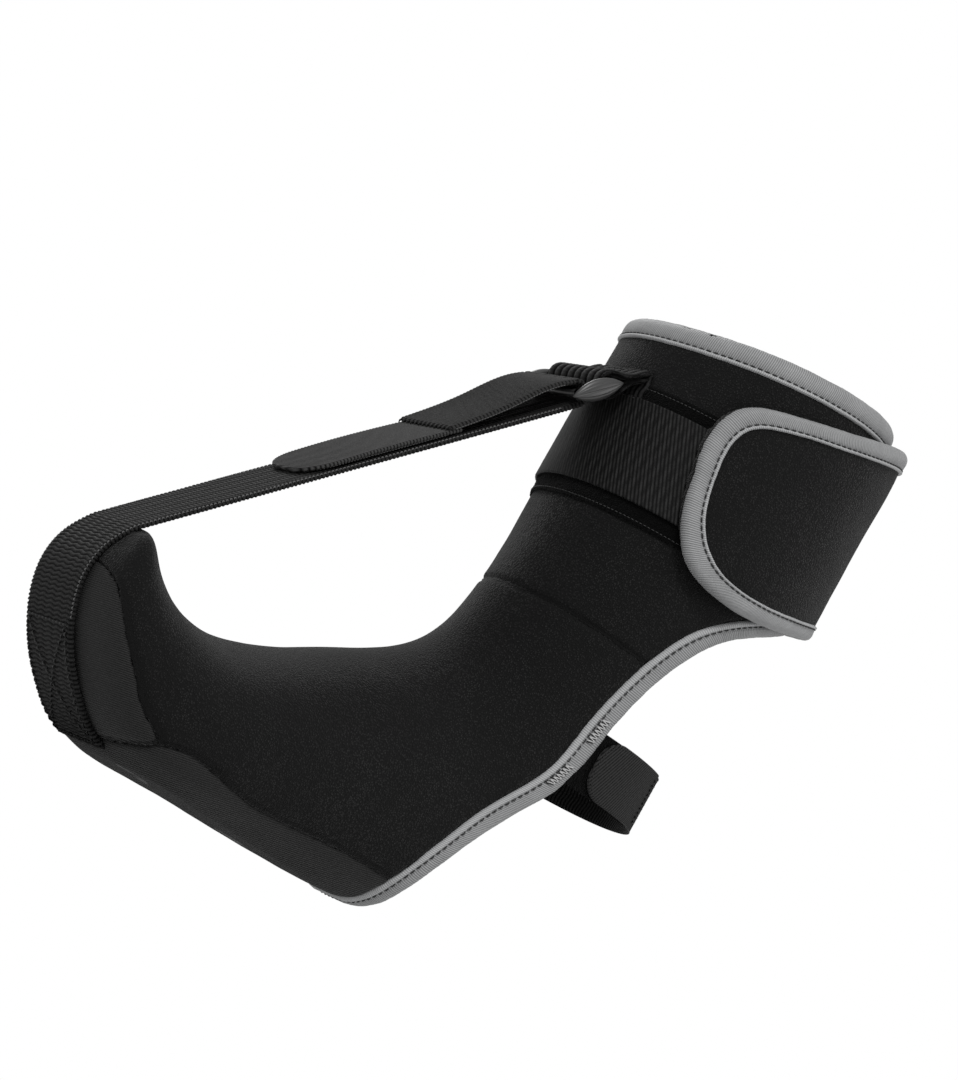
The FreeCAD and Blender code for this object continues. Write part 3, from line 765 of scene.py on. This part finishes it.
def bar_tack(seam, at_height, side_from, side_to, material, shift=0.0):
    """A short dense zigzag of thread on a binding's face, along its way."""
    near = seam.middle[:, 1] > 0
    index = int(np.argmin(np.where(near, np.abs(seam.middle[:, 2] - at_height), 1e9)))
    start = seam.along[index] - TACK_LONG / 2 + shift
    place = start + np.linspace(0, TACK_LONG, TACK_TURNS)
    side = np.where(np.arange(TACK_TURNS) % 2, side_from, side_to)
    points = seam.point(place, side, 0.5)
    return threads(points[:-1], points[1:], seam.point(place, side, 1.35)[:-1] - points[:-1], 0.7,
                   material, sink=0.6)


BACK_BLEND = ("boot", "flap", (-80, -12, 200), (-80, 12, 200))

parts, heel_seam = bound(heel_grid(), 1.45)
for tack_height in TACK_HEIGHTS:
    parts.append(bar_tack(heel_seam, tack_height, -0.3, -3.4, LIGHT_THREAD))
    # a dark zigzag half a step off under each light bar tack: painted shadow in the gaps between its
    # stitches
    parts.append(bar_tack(heel_seam, tack_height, -0.5, -3.2, DARK_THREAD, shift=0.4))
piece("heel_edge_binding", parts, "boot", ["heel_binding"])
parts, _ = bound(top_grid(), 0.85)
piece("cuff_top_binding", parts, "boot", ["top_binding"])
parts, _ = bound(flap_grid(), 0.8)
piece("wing_and_flap_binding", parts,
      replaces=["flap_binding", "rear_wing_binding"], blend=BACK_BLEND)

# ---- neoprene panels
SEAM_DIP, SEAM_REACH, SEAM_LAP = 1.4, 1.2, 0.75
SEAM_SHADE_REACH = 0.8  # half the width of the painted shade, a dark line along a seam
TUCK, TUCK_EASE = 0.9, 1.6  # how far the heel binding presses the neoprene in, and its fade
GAP_REACH = 2.0  # the ends this near to the middle plane are drawn together


def from_seams(points, seams):
    """How far points are, in side view, from the nearest of some seam lines, and which way they lie."""
    best, ways = np.full(len(points), 1e9), np.zeros_like(points)
    for line in seams:
        for a, b in zip(line[:-1], line[1:]):
            along = b - a
            share = np.clip(((points - a) @ along) / (along @ along), 0, 1)
            apart = points - a - share[:, None] * along
            distance = np.linalg.norm(apart, axis=1)
            ways = np.where((distance < best)[:, None], apart, ways)
            best = np.minimum(best, distance)
    return best, unit(ways)


def panel(name, nodes, material, body=None, voxel=1.0, seams=(), swell=0.3, blend=None,
          close_gap=0.0, smooth=4):
    """A panel of foam-backed cloth in the place of its CAD solids: rounded edges, dips along its seams with
    painted shade darkening the colour in them, and a slight unevenness. close_gap draws two solids together
    where they meet behind the leg."""
    points, faces = cad_mesh(*nodes)
    if close_gap:
        near = np.abs(points[:, 1]) < GAP_REACH
        points[:, 1] += np.where(points[:, 1] > 0, -close_gap, close_gap) * near
    mesh = bpy.data.meshes.new(name)
    mesh.from_pydata(to_row(points).tolist(), [], faces)
    rough = bpy.data.objects.new(name + "_rough", mesh)
    bpy.context.scene.collection.objects.link(rough)
    remesh = rough.modifiers.new("remesh", "REMESH")
    remesh.mode, remesh.voxel_size, remesh.adaptivity = "VOXEL", voxel * MM, 0
    ease = rough.modifiers.new("ease", "SMOOTH")
    ease.factor, ease.iterations = 0.5, smooth
    ready = rough.evaluated_get(bpy.context.evaluated_depsgraph_get())
    fine = bpy.data.meshes.new_from_object(ready)
    bpy.data.objects.remove(rough)
    count = len(fine.vertices)
    place, normals = np.empty(count * 3, np.float32), np.empty(count * 3, np.float32)
    fine.vertices.foreach_get("co", place)
    fine.vertices.foreach_get("normal", normals)
    place, normals = to_work(place.reshape(-1, 3)), normals.reshape(-1, 3)
    uneven = np.array([noise.noise(Vector(p) / 24) + 0.4 * noise.noise(Vector(p) / 9) for p in place])
    push = swell * uneven
    across_tuck = from_seams(place[:, [0, 2]], [heel_rim])[0] + from_seams(place[:, [0, 2]], [heel_hem])[0]
    push = push - TUCK * np.clip(BIND_WIDE + TUCK_EASE - across_tuck, 0, 1) * (body == "boot")
    seam_painted_shade = np.zeros(count)
    if seams:
        away, way = from_seams(place[:, [0, 2]], seams)
        facing = (normals[:, [0, 2]] * way).sum(axis=1)
        near = np.exp(-(away / SEAM_REACH) ** 2)
        # painted shade: a dark line along each seam, stored for the materials to darken the colour in the
        # seam's dip
        seam_painted_shade = 1.4 * np.exp(-(away / SEAM_SHADE_REACH) ** 2)
        push = push + 0.2 - (SEAM_DIP + 0.2) * near * (1 - facing ** 2)
        push = push + SEAM_LAP * near * (facing < 0) * facing ** 2
    place = to_row(place + normals * push[:, None])
    fine.vertices.foreach_set("co", place.astype(np.float32).ravel())
    add_value(fine, "seam_painted_shade", seam_painted_shade)
    fine.materials.clear()
    fine.materials.append(material)
    made = settle(name, fine, body, nodes, blend)
    return made


sole_line, toe_line, cross_line = dense(SOLE_SEAM, 2.0), dense(TOE_SEAM, 2.0), dense(CROSS_SEAM, 4.0)
heel_rim, heel_hem = dense(HEEL_EDGE, 3.0), dense(HEEL_EDGE_IN, 3.0)
panel("foot_upper_panel", ["foot_upper"], KNIT, "boot",
      seams=(sole_line, toe_line, cross_line))
panel("cuff_neoprene", ["cuff_panel"], KNIT, "boot", seams=(cross_line,))
panel("toe_gusset_panel", ["toe_gusset"], TWILL, "boot", seams=(toe_line,))
panel("sole_cover_panel", ["sole_cover"], TWILL, "boot", seams=(sole_line, toe_line))
panel("wing_and_flap_neoprene", ["rear_wing", "flap_panel"], KNIT,
      blend=BACK_BLEND, close_gap=0.3)
panel("insole_pad", ["insole"], INSOLE, "boot", voxel=1.3, swell=0.5)

# ---- webbing, tapes and elastic


def cross_ribs(pitch, high, warp=1.7, seed=1.0):
    """Relief of a coarse weave: ribs across the band, pinched where the warp threads pass."""
    def relief(along, side):
        sway = 0.35 * np.sin(side * 0.9 + along * 0.05 + seed)
        ribs = np.abs(np.sin(math.pi * (along + sway * pitch * 0.5) / pitch)) ** 0.75
        pinch = 0.75 + 0.25 * np.abs(np.sin(math.pi * side / warp + np.floor(along / pitch) * math.pi / 2))
        return high * (ribs * pinch - 0.5)
    return relief


def elastic_ribs(seed):
    """Relief of elastic that is pulled aslant: fine ribs across the band, leaning and a little uneven."""
    def relief(along, side):
        uneven = 0.75 + 0.25 * np.sin(along * 1.7 + seed) * np.sin(side * 0.4 + seed)
        return 0.16 * (np.abs(np.sin(math.pi * (along + side * 0.42) / 1.5)) * uneven - 0.5)
    return relief


def twilled(pitch, high, lean):
    """Relief of a fine weave whose ridges lean across the band."""
    def relief(along, side):
        return high * (np.abs(np.sin(math.pi * (along + side * lean) / pitch)) - 0.5)
    return relief


def fuzzy(high, seed):
    """Relief of a pile: uneven tufts."""
    def relief(along, side):
        flat = np.stack([along.ravel(), side.ravel()], axis=1)
        coarse = [noise.noise(Vector((a * 1.1, b * 1.1, seed))) for a, b in flat]
        fine = [noise.noise(Vector((a * 2.3, b * 2.3, seed))) for a, b in flat]
        return high * (np.array(coarse) + 0.5 * np.array(fine)).reshape(along.shape)
    return relief


def arc_points(centre, radius, start, end, step=4.0):
    """Side-view points of an arc about centre, from one angle to another in degrees."""
    way = math.copysign(1, end - start)
    angle = np.radians(np.arange(start, end + 0.1 * way, step * way))
    return np.stack([centre[0] + radius * np.cos(angle), centre[1] + radius * np.sin(angle)], axis=1)


bar = np.array(FRONT_BAR)
to_toe = np.array(TOE_PATH[-1]) - bar
SLOPE = math.atan2(to_toe[1], to_toe[0]) + math.asin(TURN / np.linalg.norm(to_toe))
DOWN = np.array([math.cos(SLOPE), math.sin(SLOPE)])  # down the strap, to the toe
ABOVE = np.array([-math.sin(SLOPE), math.cos(SLOPE)])  # outwards from the strap
slope_degrees = math.degrees(SLOPE)


def strap_point(along, above):
    return bar + DOWN * along + ABOVE * above


BOX_STITCH = (3.0, 46.0)  # where the box stitching on the toe starts and ends, up the strap


def toe_strap():
    """The webbing sewn up the toe, on to the ring's front bar and round it."""
    on_toe = dense(TOE_PATH, 1.0)
    turn = arc_points(bar, TURN, slope_degrees - 90, slope_degrees - 272)
    band = planar_band(np.concatenate([on_toe, turn]))
    parts = [strip(band, WEB_HALF, WEB_THICK, WEBBING, cross_ribs(1.6, 0.6), columns=60)]
    low, high = BOX_STITCH
    edges = WEB_HALF - 2.6
    box = [(low, high, edges, edges), (low, high, -edges, -edges), (low, low, -edges, edges),
           (high, high, -edges, edges), (low, high, -edges, edges), (low, high, edges, -edges)]
    for start, end, from_side, to_side in box:
        along, side = np.linspace(start, end, 60), np.linspace(from_side, to_side, 60)
        parts.append(stitch_row(band, along, side, 1.05, DARK_THREAD, pitch=3.0, share=0.75, thick=0.7))
    parts += edge_stitches(band, high + 2, band.length - 20, WEB_HALF - 0.35, 0.5, GLINT_THREAD,
                           pitch=1.55, share=0.8, thick=0.5)
    piece("toe_pull_strap", parts, "boot", ["toe_strap"])


CUT_ENDS = 26  # yarn ends over the fold-back's cut end
TAB_CORNER = 14.0
FINE_EDGE = {"pitch": 1.2, "share": 0.9, "thick": 0.35}


def strap_tail():
    """The webbing that comes back from the ring, and the hook tab sewn to its end."""
    run_top = -TURN + WEB_THICK + PEEL_GAP
    line = [strap_point(0, TURN), strap_point(4, TURN + 0.5), strap_point(FOLD_LONG * 0.5, run_top + 4.4),
            strap_point(FOLD_LONG, run_top + 1.9)]
    band = planar_band(dense(line, 1.0))
    parts = [strip(band, WEB_HALF, WEB_THICK, FOLD_WEBBING, twilled(1.5, 0.34, 0.5), columns=90)]
    end = band.length
    for back in (1.6, 5.0):
        parts.append(stitch_row(band, np.full(60, end - back), np.linspace(-17.5, 17.5, 60), 0.95,
                                DARK_THREAD, pitch=2.4, share=0.7, thick=0.8))
    across = np.linspace(-WEB_HALF + 0.8, WEB_HALF - 0.8, CUT_ENDS)
    reach = np.where(np.arange(CUT_ENDS) % 2, 0.5, 1.3)[:, None]
    tips = band.point(end, across, 0) + np.array([DOWN[0], 0, DOWN[1]]) * reach
    outs = np.tile([ABOVE[0], 0, ABOVE[1]], (CUT_ENDS, 1))
    parts.append(threads(band.point(end - 1.3, across, 0.7), tips, outs, 0.9, FOLD_WEBBING, sink=0.5))
    parts += edge_stitches(band, 4, end - 1, WEB_HALF - 0.3, 0.45, GLINT_THREAD, **FINE_EDGE)
    start, stop = strap_point(0.2, TURN), strap_point(9, TURN)
    blend = ("boot", "strap_tail", (start[0], 0, start[1]), (stop[0], 0, stop[1]))
    piece("strap_fold_back", parts, replaces=["strap_tail"], blend=blend)

    line = [strap_point(FOLD_LONG - 5, run_top + 0.5),
            strap_point(FOLD_LONG + TAB_LONG * 0.5, run_top + 1.1),
            strap_point(FOLD_LONG + TAB_LONG, run_top + 0.3)]
    band = planar_band(dense(line, 1.0))
    half = WEB_HALF - 0.3
    parts = [strip(band, half, 1.3, HOOK_RIBS, twilled(1.35, 0.34, 0.22), columns=90, corner=TAB_CORNER),
             border_stitches(band, half, TAB_CORNER, 1.0, 6, 6, 0.62, GLINT_THREAD, **FINE_EDGE)]
    piece("strap_hook_end", parts, "strap_tail", ["strap_hook_tab"])


def ring_anchor():
    """The short loop of webbing that ties the ring's rear bar to the cuff."""
    rear = bar - DOWN * BAR_GAP
    root = np.array(ANCHOR_ROOT) + [1.5, -1.2]
    throat = rear + (root - rear) * ANCHOR_THROAT
    away = rear - throat
    lean = math.degrees(math.acos(TURN / np.linalg.norm(away)))
    back = math.degrees(math.atan2(-away[1], -away[0]))
    loop = arc_points(rear, TURN, back - lean - 12, back + lean - 348, 12.0)
    apart = np.array([away[1], -away[0]]) / np.linalg.norm(away) * 0.95
    apart = apart if (loop[0] - throat) @ apart > 0 else -apart
    line = np.concatenate([[root + apart, (root + throat) / 2 + apart, throat + apart], loop,
                           [throat - apart, (root + throat) / 2 - apart, root - apart]])
    band = planar_band(dense(line, 0.5), 0.25)
    cords = twilled(4.6, 0.8, 0.0)

    def wavy_cords(along, side):
        return cords(side + 0.4 * np.sin(along * 0.7), along) + 0.03 * np.sin(along * 5.2)

    parts = [strip(band, WEB_HALF, WEB_THICK, WEBBING, wavy_cords, columns=90)]
    for side in np.linspace(-16, 16, 9):
        across = np.linspace(side - 1.6, side + 1.6, 6)
        parts.append(stitch_row(band, np.full(6, band.length - 4.2), across, 1.05, DARK_THREAD, pitch=2.6))
    half_turn = math.degrees(WEB_HALF / CUFF[2])
    seat = round_band(CUFF, 1.7, -half_turn, half_turn, ANCHOR_ROOT[1] - 13, 12)
    parts.append(strip(seat, 6.0, 1.2, WEBBING, cross_ribs(2.1, 0.4), columns=24))
    parts += edge_stitches(seat, 1, seat.length - 1, 4.4, 0.75, DARK_THREAD, pitch=2.2)
    piece("ring_anchor_loop", parts, "boot", ["ring_anchor"])


def ring():
    """The pull ring: a ridged lens-shaped rail at each side, and two bars that flare into them."""
    half_long, half_high = RAIL_LONG / 2, RAIL_HIGH / 2
    bend = (half_long ** 2 + half_high ** 2) / (2 * half_high)
    run = half_long * np.sin(np.linspace(-1.5, 1.5, 64))
    high = np.sqrt(bend ** 2 - run ** 2) - (bend - half_high)
    face, back = np.linspace(-1, 1, 61), np.linspace(1, -1, 21)[1:-1]
    ridges = sum(np.exp(-((face - line) / 0.05) ** 2) for line in (-0.52, 0.0, 0.52))
    share = np.concatenate([face, back])
    depth = np.concatenate([(1 - np.abs(face) ** 2.6) ** 0.6 - 0.13 * ridges,
                            -(1 - np.abs(back) ** 4) ** 0.5])
    middle, half_thick = (RAIL_IN + RAIL_OUT) / 2, (RAIL_OUT - RAIL_IN) / 2
    parts = []
    for side in (-1, 1):
        flat = np.stack([run[:, None] + 0 * share, high[:, None] * share], axis=-1)
        place = strap_point(0, 0) - DOWN * (BAR_GAP / 2) + flat[..., :1] * DOWN + flat[..., 1:] * ABOVE
        thin = np.sqrt(high / half_high)[:, None]
        y = side * (middle + half_thick * depth[None, :] * thin)
        points = np.stack([place[..., 0], y, place[..., 1]], axis=-1)
        quads = lattice(len(run), len(share), wrap=True)
        parts.append(Part(points, quads if side > 0 else quads[:, ::-1], RING))
    bar_end = RAIL_IN + 0.4
    across = np.linspace(-bar_end, bar_end, 60)[:, None]
    flare = BAR_RADIUS + 0.9 * np.exp(-(bar_end - np.abs(across)) / 0.7)
    a = np.linspace(0, 2 * math.pi, 24, endpoint=False)
    for centre in (strap_point(0.0, 0), strap_point(-BAR_GAP, 0)):
        points = np.stack([centre[0] + flare * np.cos(a), across + 0 * a,
                           centre[1] + flare * np.sin(a)], axis=-1)
        parts.append(Part(points, lattice(len(across), len(a), wrap=True), RING))
    piece("pull_ring_frame", parts, "ring", ["pull_ring"])


# Where each band round the cuff starts and ends, in degrees about the leg from the front, and how far its
# middle stands off the cuff.
LOOP_TURN, LOOP_OUT = (-88, 100), 0.65
ELASTIC_TURN, ELASTIC_OUT = (-40, 68.4), 2.2
SEWN_TURN, ROOT_OUT, PATCH_OUT = (69, 94), 3.3, 2.05
END_TURN, END_OUT = (-40.4, -72), 2.4


def leg_bands():
    """The loop tape, the elastic with the end that is sewn under the flap, and its hook tab."""
    loop = round_band(CUFF, LOOP_OUT, *LOOP_TURN, LOOP_LOW, LOOP_WIDE, 0.5)
    parts = [strip(loop, LOOP_WIDE / 2, 1.1, LOOP, fuzzy(0.28, 4.0), columns=90)]
    parts += edge_stitches(loop, 1, loop.length - 1, LOOP_WIDE / 2 - 1.6, 0.5, LOOP_THREAD,
                           pitch=1.7, share=0.85, thick=0.35)
    piece("cuff_loop_tape", parts, "boot", ["loop_strip"])

    elastic = round_band(CUFF, ELASTIC_OUT, *ELASTIC_TURN, BAND_LOW, BAND_WIDE, 0.21)
    part = strip(elastic, BAND_WIDE / 2, 1.2, ELASTIC, elastic_ribs(3.0), columns=100)
    piece("cuff_elastic", [part], replaces=["elastic_strap"],
          blend=("boot", "flap", (44, -6, 195), (10, 47, 195)))
    root = round_band(CUFF, ROOT_OUT, *SEWN_TURN, BAND_LOW, BAND_WIDE, 0.25)
    part = strip(root, BAND_WIDE / 2, 1.1, ELASTIC, elastic_ribs(1.0), columns=100)
    piece("elastic_sewn_end", [part], "flap", ["elastic_root"])
    patch = round_band(CUFF, PATCH_OUT, *SEWN_TURN, BAND_LOW + 1, BAND_WIDE - 2, 0.3)
    part = strip(patch, BAND_WIDE / 2 - 1, 1.0, HOOK, twilled(1.3, 0.14, 0.5), columns=80)
    piece("flap_hook_lining", [part], "flap", ["flap_hook_patch"])

    tab = round_band(CUFF, END_OUT, *END_TURN, BAND_LOW, BAND_WIDE, 0.3)
    parts = [strip(tab, BAND_WIDE / 2, 1.5, HOOK, twilled(1.3, 0.18, 0.5), columns=80, corner=9)]
    across = np.linspace(-16.5, 16.5, 50)
    for place in (2.0, 6.0):
        parts.append(stitch_row(tab, np.full(50, place), across, 0.8, DARK_THREAD, pitch=3.0))
    piece("elastic_hook_end", parts, "elastic_tab", ["elastic_hook_tab"])


# The same for the heel strap's pieces, off its inner ellipse.
HEEL_WEB_TURN, HEEL_WEB_OUT = (285.0, 129.0), 0.75
HEEL_LOOP_TURN, HEEL_LOOP_OUT = (128.4, 74), 0.6
HEEL_HOOK_TURN, HEEL_HOOK_OUT = (134, 89.5), 2.4
HEEL_CORNER = 9.0
UNDER_BINDING = 4.0  # how far the strap's sewn ends go in past the opening's edge


def heel_strap():
    """The strap behind the heel: webbing from the far side round the back, and a hook tab that closes it
    on a loop tab at the near side."""
    half = HEEL_WIDE / 2
    edge = np.array(HEEL_EDGE[3:7])
    sewn_x = np.interp(HEEL_LOW + half, edge[:, 1], edge[:, 0]) + UNDER_BINDING
    band = round_band(HEEL_BAND, HEEL_WEB_OUT, *HEEL_WEB_TURN, HEEL_LOW, HEEL_WIDE, 0.25).behind(sewn_x)
    parts = [strip(band, half, 1.5, WEBBING, cross_ribs(1.4, 0.2, 1.5), columns=30)]
    parts += edge_stitches(band, 1, band.length - 1, half - 0.4, 0.5, DARK_THREAD,
                           pitch=1.6, share=0.8, thick=0.5)
    piece("heel_strap_web", parts, replaces=["heel_strap_far", "heel_strap_near"],
          blend=("boot", "heel_strap", (-54, -12, 88), (-54, 12, 88)))
    loop = round_band(HEEL_BAND, HEEL_LOOP_OUT, *HEEL_LOOP_TURN, HEEL_LOW, HEEL_WIDE, 0.35).behind(sewn_x)
    part = strip(loop, half, 1.2, LOOP, fuzzy(0.3, 9.0), columns=44)
    piece("heel_loop_end", [part], "boot", ["heel_loop_tab"])
    tab = round_band(HEEL_BAND, HEEL_HOOK_OUT, *HEEL_HOOK_TURN, HEEL_LOW, HEEL_WIDE, 0.25)
    parts = [strip(tab, half, 1.5, HOOK, twilled(1.2, 0.2, 0.45), columns=60, corner=HEEL_CORNER)]
    parts.append(stitch_row(tab, np.full(40, 2.4), np.linspace(-9.6, 9.6, 40), 0.8, DARK_THREAD, pitch=1.9,
                            share=0.6, thick=1.1))
    parts.append(border_stitches(tab, half, HEEL_CORNER, 1.1, 1.5, 9, 0.74, DARK_THREAD,
                                 pitch=1.6, share=0.8, thick=0.35))
    piece("heel_hook_end", parts, "heel_strap", ["heel_hook_tab"])


toe_strap()
strap_tail()
ring_anchor()
ring()
leg_bands()
heel_strap()
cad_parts["sole_board"].data.materials.clear()
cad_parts["sole_board"].data.materials.append(BOARD)

# ---- camera, light and floor
CAMERA_AT = (683.7, 1114.9, -73.9)  # in the working frame
AIM_AT = (40.0, 0.0, 107.0)
CAMERA_ROLL = math.radians(29.5)
LENS, SENSOR = 117.9, 36.0
SHIFT_X, SHIFT_Y = 0.0083, 0.0926
FLOOR_HALF, FLOOR_Z = 2.5, -0.0004  # in metres, just under the sole
WORLD_LIGHT = 0.5


def add_camera():
    """The camera stands low on the flap's side and is rolled, so that the leg leans to the right."""
    place, aim = to_row(CAMERA_AT), to_row(AIM_AT)
    back = Vector(place - aim).normalized()
    level = Vector((0, 0, 1)).cross(back).normalized()
    upright = back.cross(level)
    right = level * math.cos(CAMERA_ROLL) + upright * math.sin(CAMERA_ROLL)
    up = -level * math.sin(CAMERA_ROLL) + upright * math.cos(CAMERA_ROLL)
    camera = bpy.data.cameras.new("camera")
    camera.lens, camera.sensor_width = LENS, SENSOR
    camera.shift_x, camera.shift_y = SHIFT_X, SHIFT_Y
    holder = bpy.data.objects.new("camera", camera)
    holder.matrix_world = Matrix((
        (right.x, up.x, back.x, place[0]), (right.y, up.y, back.y, place[1]),
        (right.z, up.z, back.z, place[2]), (0, 0, 0, 1)))
    bpy.context.scene.collection.objects.link(holder)
    bpy.context.scene.camera = holder


def add_light(name, place, aim, size, power):
    light = bpy.data.lights.new(name, "AREA")
    light.shape, light.size, light.energy = "DISK", size, power
    holder = bpy.data.objects.new(name, light)
    holder.location = place
    holder.rotation_euler = (Vector(aim) - Vector(place)).to_track_quat("-Z", "Y").to_euler()
    bpy.context.scene.collection.objects.link(holder)


def add_floor():
    """A pale floor that is clear from below, where the camera stands."""
    made = Nodes("floor")
    grain = made.grain(made.object_space(), 40, 2.0)
    made.set(Base_Color=made.colours(grain, grey(0.80), grey(0.84)), Roughness=0.7)
    under = made.add("ShaderNodeNewGeometry").outputs["Backfacing"]
    clear = made.add("ShaderNodeBsdfTransparent").outputs[0]
    mixed = made.add("ShaderNodeMixShader", {0: under, 1: made.shader.outputs[0], 2: clear}).outputs[0]
    made.join(mixed, made.tree.nodes["Material Output"].inputs["Surface"])
    corners = [(x * FLOOR_HALF, y * FLOOR_HALF, 0) for x, y in ((-1, -1), (1, -1), (1, 1), (-1, 1))]
    mesh = bpy.data.meshes.new("floor")
    mesh.from_pydata(corners, [], [(0, 1, 2, 3)])
    mesh.materials.append(made.material)
    floor = bpy.data.objects.new("floor", mesh)
    floor.location.z = FLOOR_Z
    bpy.context.scene.collection.objects.link(floor)
    floor.visible_diffuse = False


def add_world():
    """A white backdrop that lights the object less than it looks."""
    world = bpy.data.worlds.new("studio")
    bpy.context.scene.world = world
    world.use_nodes = True
    nodes, links = world.node_tree.nodes, world.node_tree.links
    backdrop = nodes["Background"]
    backdrop.inputs["Color"].default_value = (1, 1, 1, 1)
    seen = nodes.new("ShaderNodeLightPath").outputs["Is Camera Ray"]
    level = nodes.new("ShaderNodeMapRange")
    level.inputs["To Min"].default_value, level.inputs["To Max"].default_value = WORLD_LIGHT, 1.0
    links.new(seen, level.inputs["Value"])
    links.new(level.outputs[0], backdrop.inputs["Strength"])


add_camera()
add_floor()
add_world()
add_light("key", (0.9, 1.2, 1.5), (0, 0, 0.12), 0.6, 15)
add_light("fill", (-1.2, 1.2, 0.6), (0, 0, 0.12), 0.9, 5)
add_light("rim", (0.3, -1.4, 1.3), (0, 0, 0.12), 0.8, 9)
bpy.context.scene.view_settings.view_transform = "Standard"
